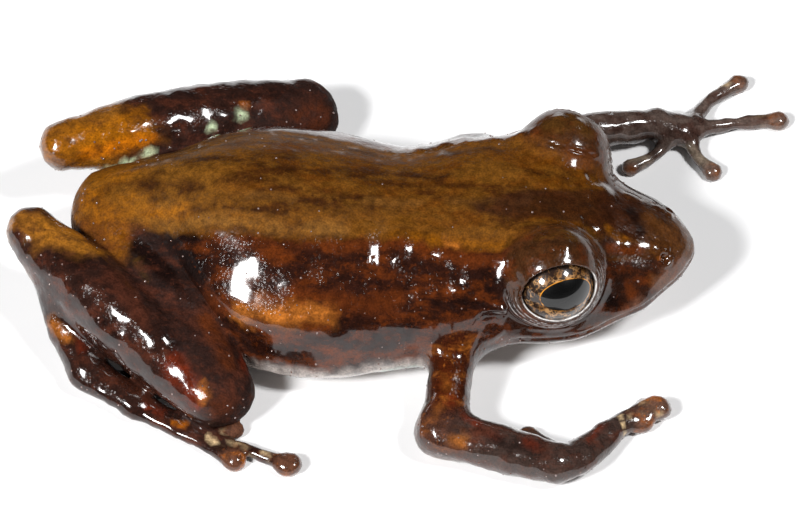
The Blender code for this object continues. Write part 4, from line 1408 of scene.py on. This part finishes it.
def painted_lid_glints(finish, place):
    """The share of the painted highlights on the lower lid: pale glints along the crests of its folds, and a
    painted reflection along the wet rim of the opening.
    """
    gap, lower = finish.kept("from_opening", "Fac"), finish.kept("lower_lid", "Fac")
    broken = finish.noise(place, 4.0, 3.0).between(0.38, 0.6)
    fold_glints = (gap.band(0.24, 0.04) + gap.band(0.37, 0.035) + gap.band(0.5, 0.035)) * broken * 0.4
    rim_reflection = gap.band(0.02, 0.05) * finish.noise(place, 2.5, 3.0).between(0.3, 0.6, 0.35, 0.95)
    return (fold_glints + rim_reflection) * lower


def skin_finish():
    """Wet skin over grains and small swellings, dry where the mesh says so."""
    finish = Finish("wet_skin", Coat_Roughness=0.1, Coat_IOR=1.55, Specular_IOR_Level=0.06)
    place = finish.place()
    wet = finish.kept("wetness", "Fac")
    grains = finish.noise(place, 13.0, 3.0)
    clouds = finish.noise(place, 3.0, 3.0)
    shade = grains.between(0.3, 0.7, 0.75, 1.25) * clouds.between(0.3, 0.7, 0.75, 1.25)
    colour = finish.shaded(skin_colour(finish, place), shade)
    # Painted highlights: pale glints on the lower lid's folds and a painted reflection on its wet rim
    colour = finish.mix(painted_lid_glints(finish, place), colour, LID_GLINT)
    height = finish.noise(place, 2.2) * 4.0 + finish.cells(place, 6.5) * -1.2 + grains * 0.5
    finish.feed(
        Base_Color=colour,
        Roughness=wet.between(0.0, 1.0, 0.65, 0.12) * clouds.between(0.3, 0.7, 0.85, 1.3),
        Coat_Weight=wet * clouds.between(0.3, 0.7, 0.95, 0.75),
        Normal=finish.node("ShaderNodeBump", {"Height": height, "Distance": SKIN_BUMP * METRES}),
    )
    return finish.material


def granule_finish():
    """Wet grains, some darker than others; the paler ones' tint is partly a painted glint."""
    finish = Finish("granule", Coat_Weight=1.0, Coat_Roughness=0.06)
    tone = finish.noise(finish.place(), 1.2)
    finish.feed(
        Base_Color=finish.mix(tone.between(0.35, 0.65), GRAIN_DARK, GRAIN_PALE_GLINT),
        Roughness=tone.between(0.3, 0.7, 0.15, 0.3),
    )
    return finish.material


# The eyeball's faces round and along its axis, and how much further out its front stands, as a share
EYE_FACES = (128, 96)
EYE_BULGE = 0.02


def eye_mesh(name, side):
    """An eyeball whose front bulges a little, with its place round the gaze kept at each point."""
    shape = bmesh.new()
    bmesh.ops.create_uvsphere(shape, u_segments=EYE_FACES[0], v_segments=EYE_FACES[1], radius=EYE_RADIUS)
    centre, gaze, upward, forward = eye_axes(side)
    turn = Matrix(np.stack([forward, upward, gaze], 1).tolist())
    for vert in shape.verts:
        bulge = 1 + EYE_BULGE * max(0.0, vert.co.z / EYE_RADIUS) ** 4
        vert.co = Vector(centre) + turn @ (vert.co * bulge)
    bmesh.ops.recalc_face_normals(shape, faces=shape.faces)
    mesh = bpy.data.meshes.new(name)
    shape.to_mesh(mesh)
    shape.free()
    place = np.stack(eye_place(points_of(mesh), side), 1)
    layer = mesh.attributes.new("iris_place", "FLOAT_VECTOR", "POINT")
    layer.data.foreach_set("vector", place.astype(np.float32).ravel())
    mesh.shade_smooth()
    return shown(mesh, name)


# The pupil, forward and upward from the gaze: its middle, and half its width and height
PUPIL_CENTRE = (0.15, -0.07)
PUPIL_HALF = (1.11, 0.68)


def from_middle(forward, upward, centre, half):
    """How far out a point of the eye lies in an oval, 1 on its edge."""
    across = (forward - centre[0]) * (1 / half[0])
    rise = (upward - centre[1]) * (1 / half[1])
    return (across * across + rise * rise).maths("SQRT")


def eye_finish():
    """A netted iris, darker above and behind, with a gold ring round a black pupil."""
    finish = Finish("eye", Roughness=0.35, Specular_IOR_Level=0.15, Coat_Weight=1.0, Coat_Roughness=0.02)
    place = finish.kept("iris_place", "Vector")
    forward, upward = (finish.node("ShaderNodeSeparateXYZ", {"Vector": place}, output=k) for k in (0, 1))
    flecks = finish.noise(place, 4.0, 5.0, Roughness=0.65)
    net = finish.cells(place, 5.0, feature="DISTANCE_TO_EDGE")
    tone = finish.noise(place, 2.5).between(0.4, 0.6)
    darker = upward.between(0.75, 1.15, 0.0, -0.1) + forward.between(-0.7, -1.1, 0.0, -0.05)
    strands = (flecks + net.between(0.0, 0.1, 0.07, -0.05) + darker).between(0.45, 0.56)
    iris = finish.mix(strands, IRIS_DARK, finish.mix(tone, IRIS_BROWN, IRIS_TAN))
    broken = finish.noise(place, 3.0, 3.0).between(0.42, 0.58)
    gold = finish.mix(broken, RING_BROWN, RING_GOLD)
    from_pupil = from_middle(forward, upward, PUPIL_CENTRE, PUPIL_HALF)
    ring = finish.mix(from_pupil.between(1.01, 1.04), gold, iris)
    colour = finish.mix(from_pupil.between(0.985, 1.0), PUPIL_BLACK, ring)
    edge = from_middle(forward, upward, OPENING_CENTRE, OPENING_HALF)
    finish.feed(Base_Color=finish.mix(edge.between(0.95, 1.03), colour, EYE_EDGE))
    return finish.material


def floor():
    """A plain pale floor, staged so that it isn't part of the frog."""
    half = FLOOR_HALF * METRES
    corners = np.array([(-half, -half, 0), (half, -half, 0), (half, half, 0), (-half, half, 0)])
    mesh = mesh_named("floor", corners, np.array([(0, 1, 2, 3)]))
    finish = Finish(
        "pale_floor",
        Base_Color=FLOOR_WHITE,
        Roughness=0.8,
        Emission_Color=FLOOR_WHITE,
        Emission_Strength=0.01,
    )
    mesh.materials.append(finish.material)
    shown(mesh, "floor")


def soft_light(name, direction, size, power):
    """A square lamp that faces the frog."""
    lamp = bpy.data.lights.new(name, "AREA")
    lamp.size = size * METRES
    lamp.energy = power
    made = shown(lamp, name)
    out = Vector(unit(direction))
    made.location = out * LAMP_DISTANCE * METRES
    made.rotation_euler = out.to_track_quat("Z", "Y").to_euler()


def camera():
    lens = bpy.data.cameras.new("camera")
    lens.lens = CAMERA_LENS
    lens.clip_start = 0.01
    made = shown(lens, "camera")
    level = cos(CAMERA_ELEVATION)
    back = Vector((sin(CAMERA_AZIMUTH) * level, -cos(CAMERA_AZIMUTH) * level, sin(CAMERA_ELEVATION)))
    made.location = (Vector(CAMERA_TARGET - BOX_MIDDLE) + back * CAMERA_DISTANCE) * METRES
    made.rotation_euler = back.to_track_quat("Z", "Y").to_euler()
    bpy.context.scene.camera = made


def studio():
    """Two soft flashes over the frog, and a faint sky."""
    world = bpy.data.worlds.new("studio")
    bpy.context.scene.world = world
    world.use_nodes = True
    sky = world.node_tree.nodes["Background"]
    sky.inputs["Color"].default_value = SKY_WHITE
    sky.inputs["Strength"].default_value = 0.03
    for name, lamp in LAMPS.items():
        soft_light(name, *lamp)
    bpy.context.scene.view_settings.view_transform = "Standard"


def hand_over(piece, slot, *replaced):
    """Sets a piece in the row frame on the root, and hides the parts that it stands for; its slot is not
    used.
    """
    to_row(piece.data)
    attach(piece, "root")
    if replaced:
        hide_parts(*replaced)


def main():
    skin = skin_mesh(limb_tubes())
    grains = granules(skin, granule_finish())
    skin.data.materials.append(skin_finish())
    hand_over(skin, "body_skin", *[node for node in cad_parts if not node.startswith("eye_")])
    hand_over(grains, "body_skin")
    iris = eye_finish()
    for name, side in (("left", 1), ("right", -1)):
        eye = eye_mesh("eyeball_" + name, side)
        eye.data.materials.append(iris)
        hand_over(eye, "eye", "eye_" + name)
    floor()
    studio()
    camera()


main()
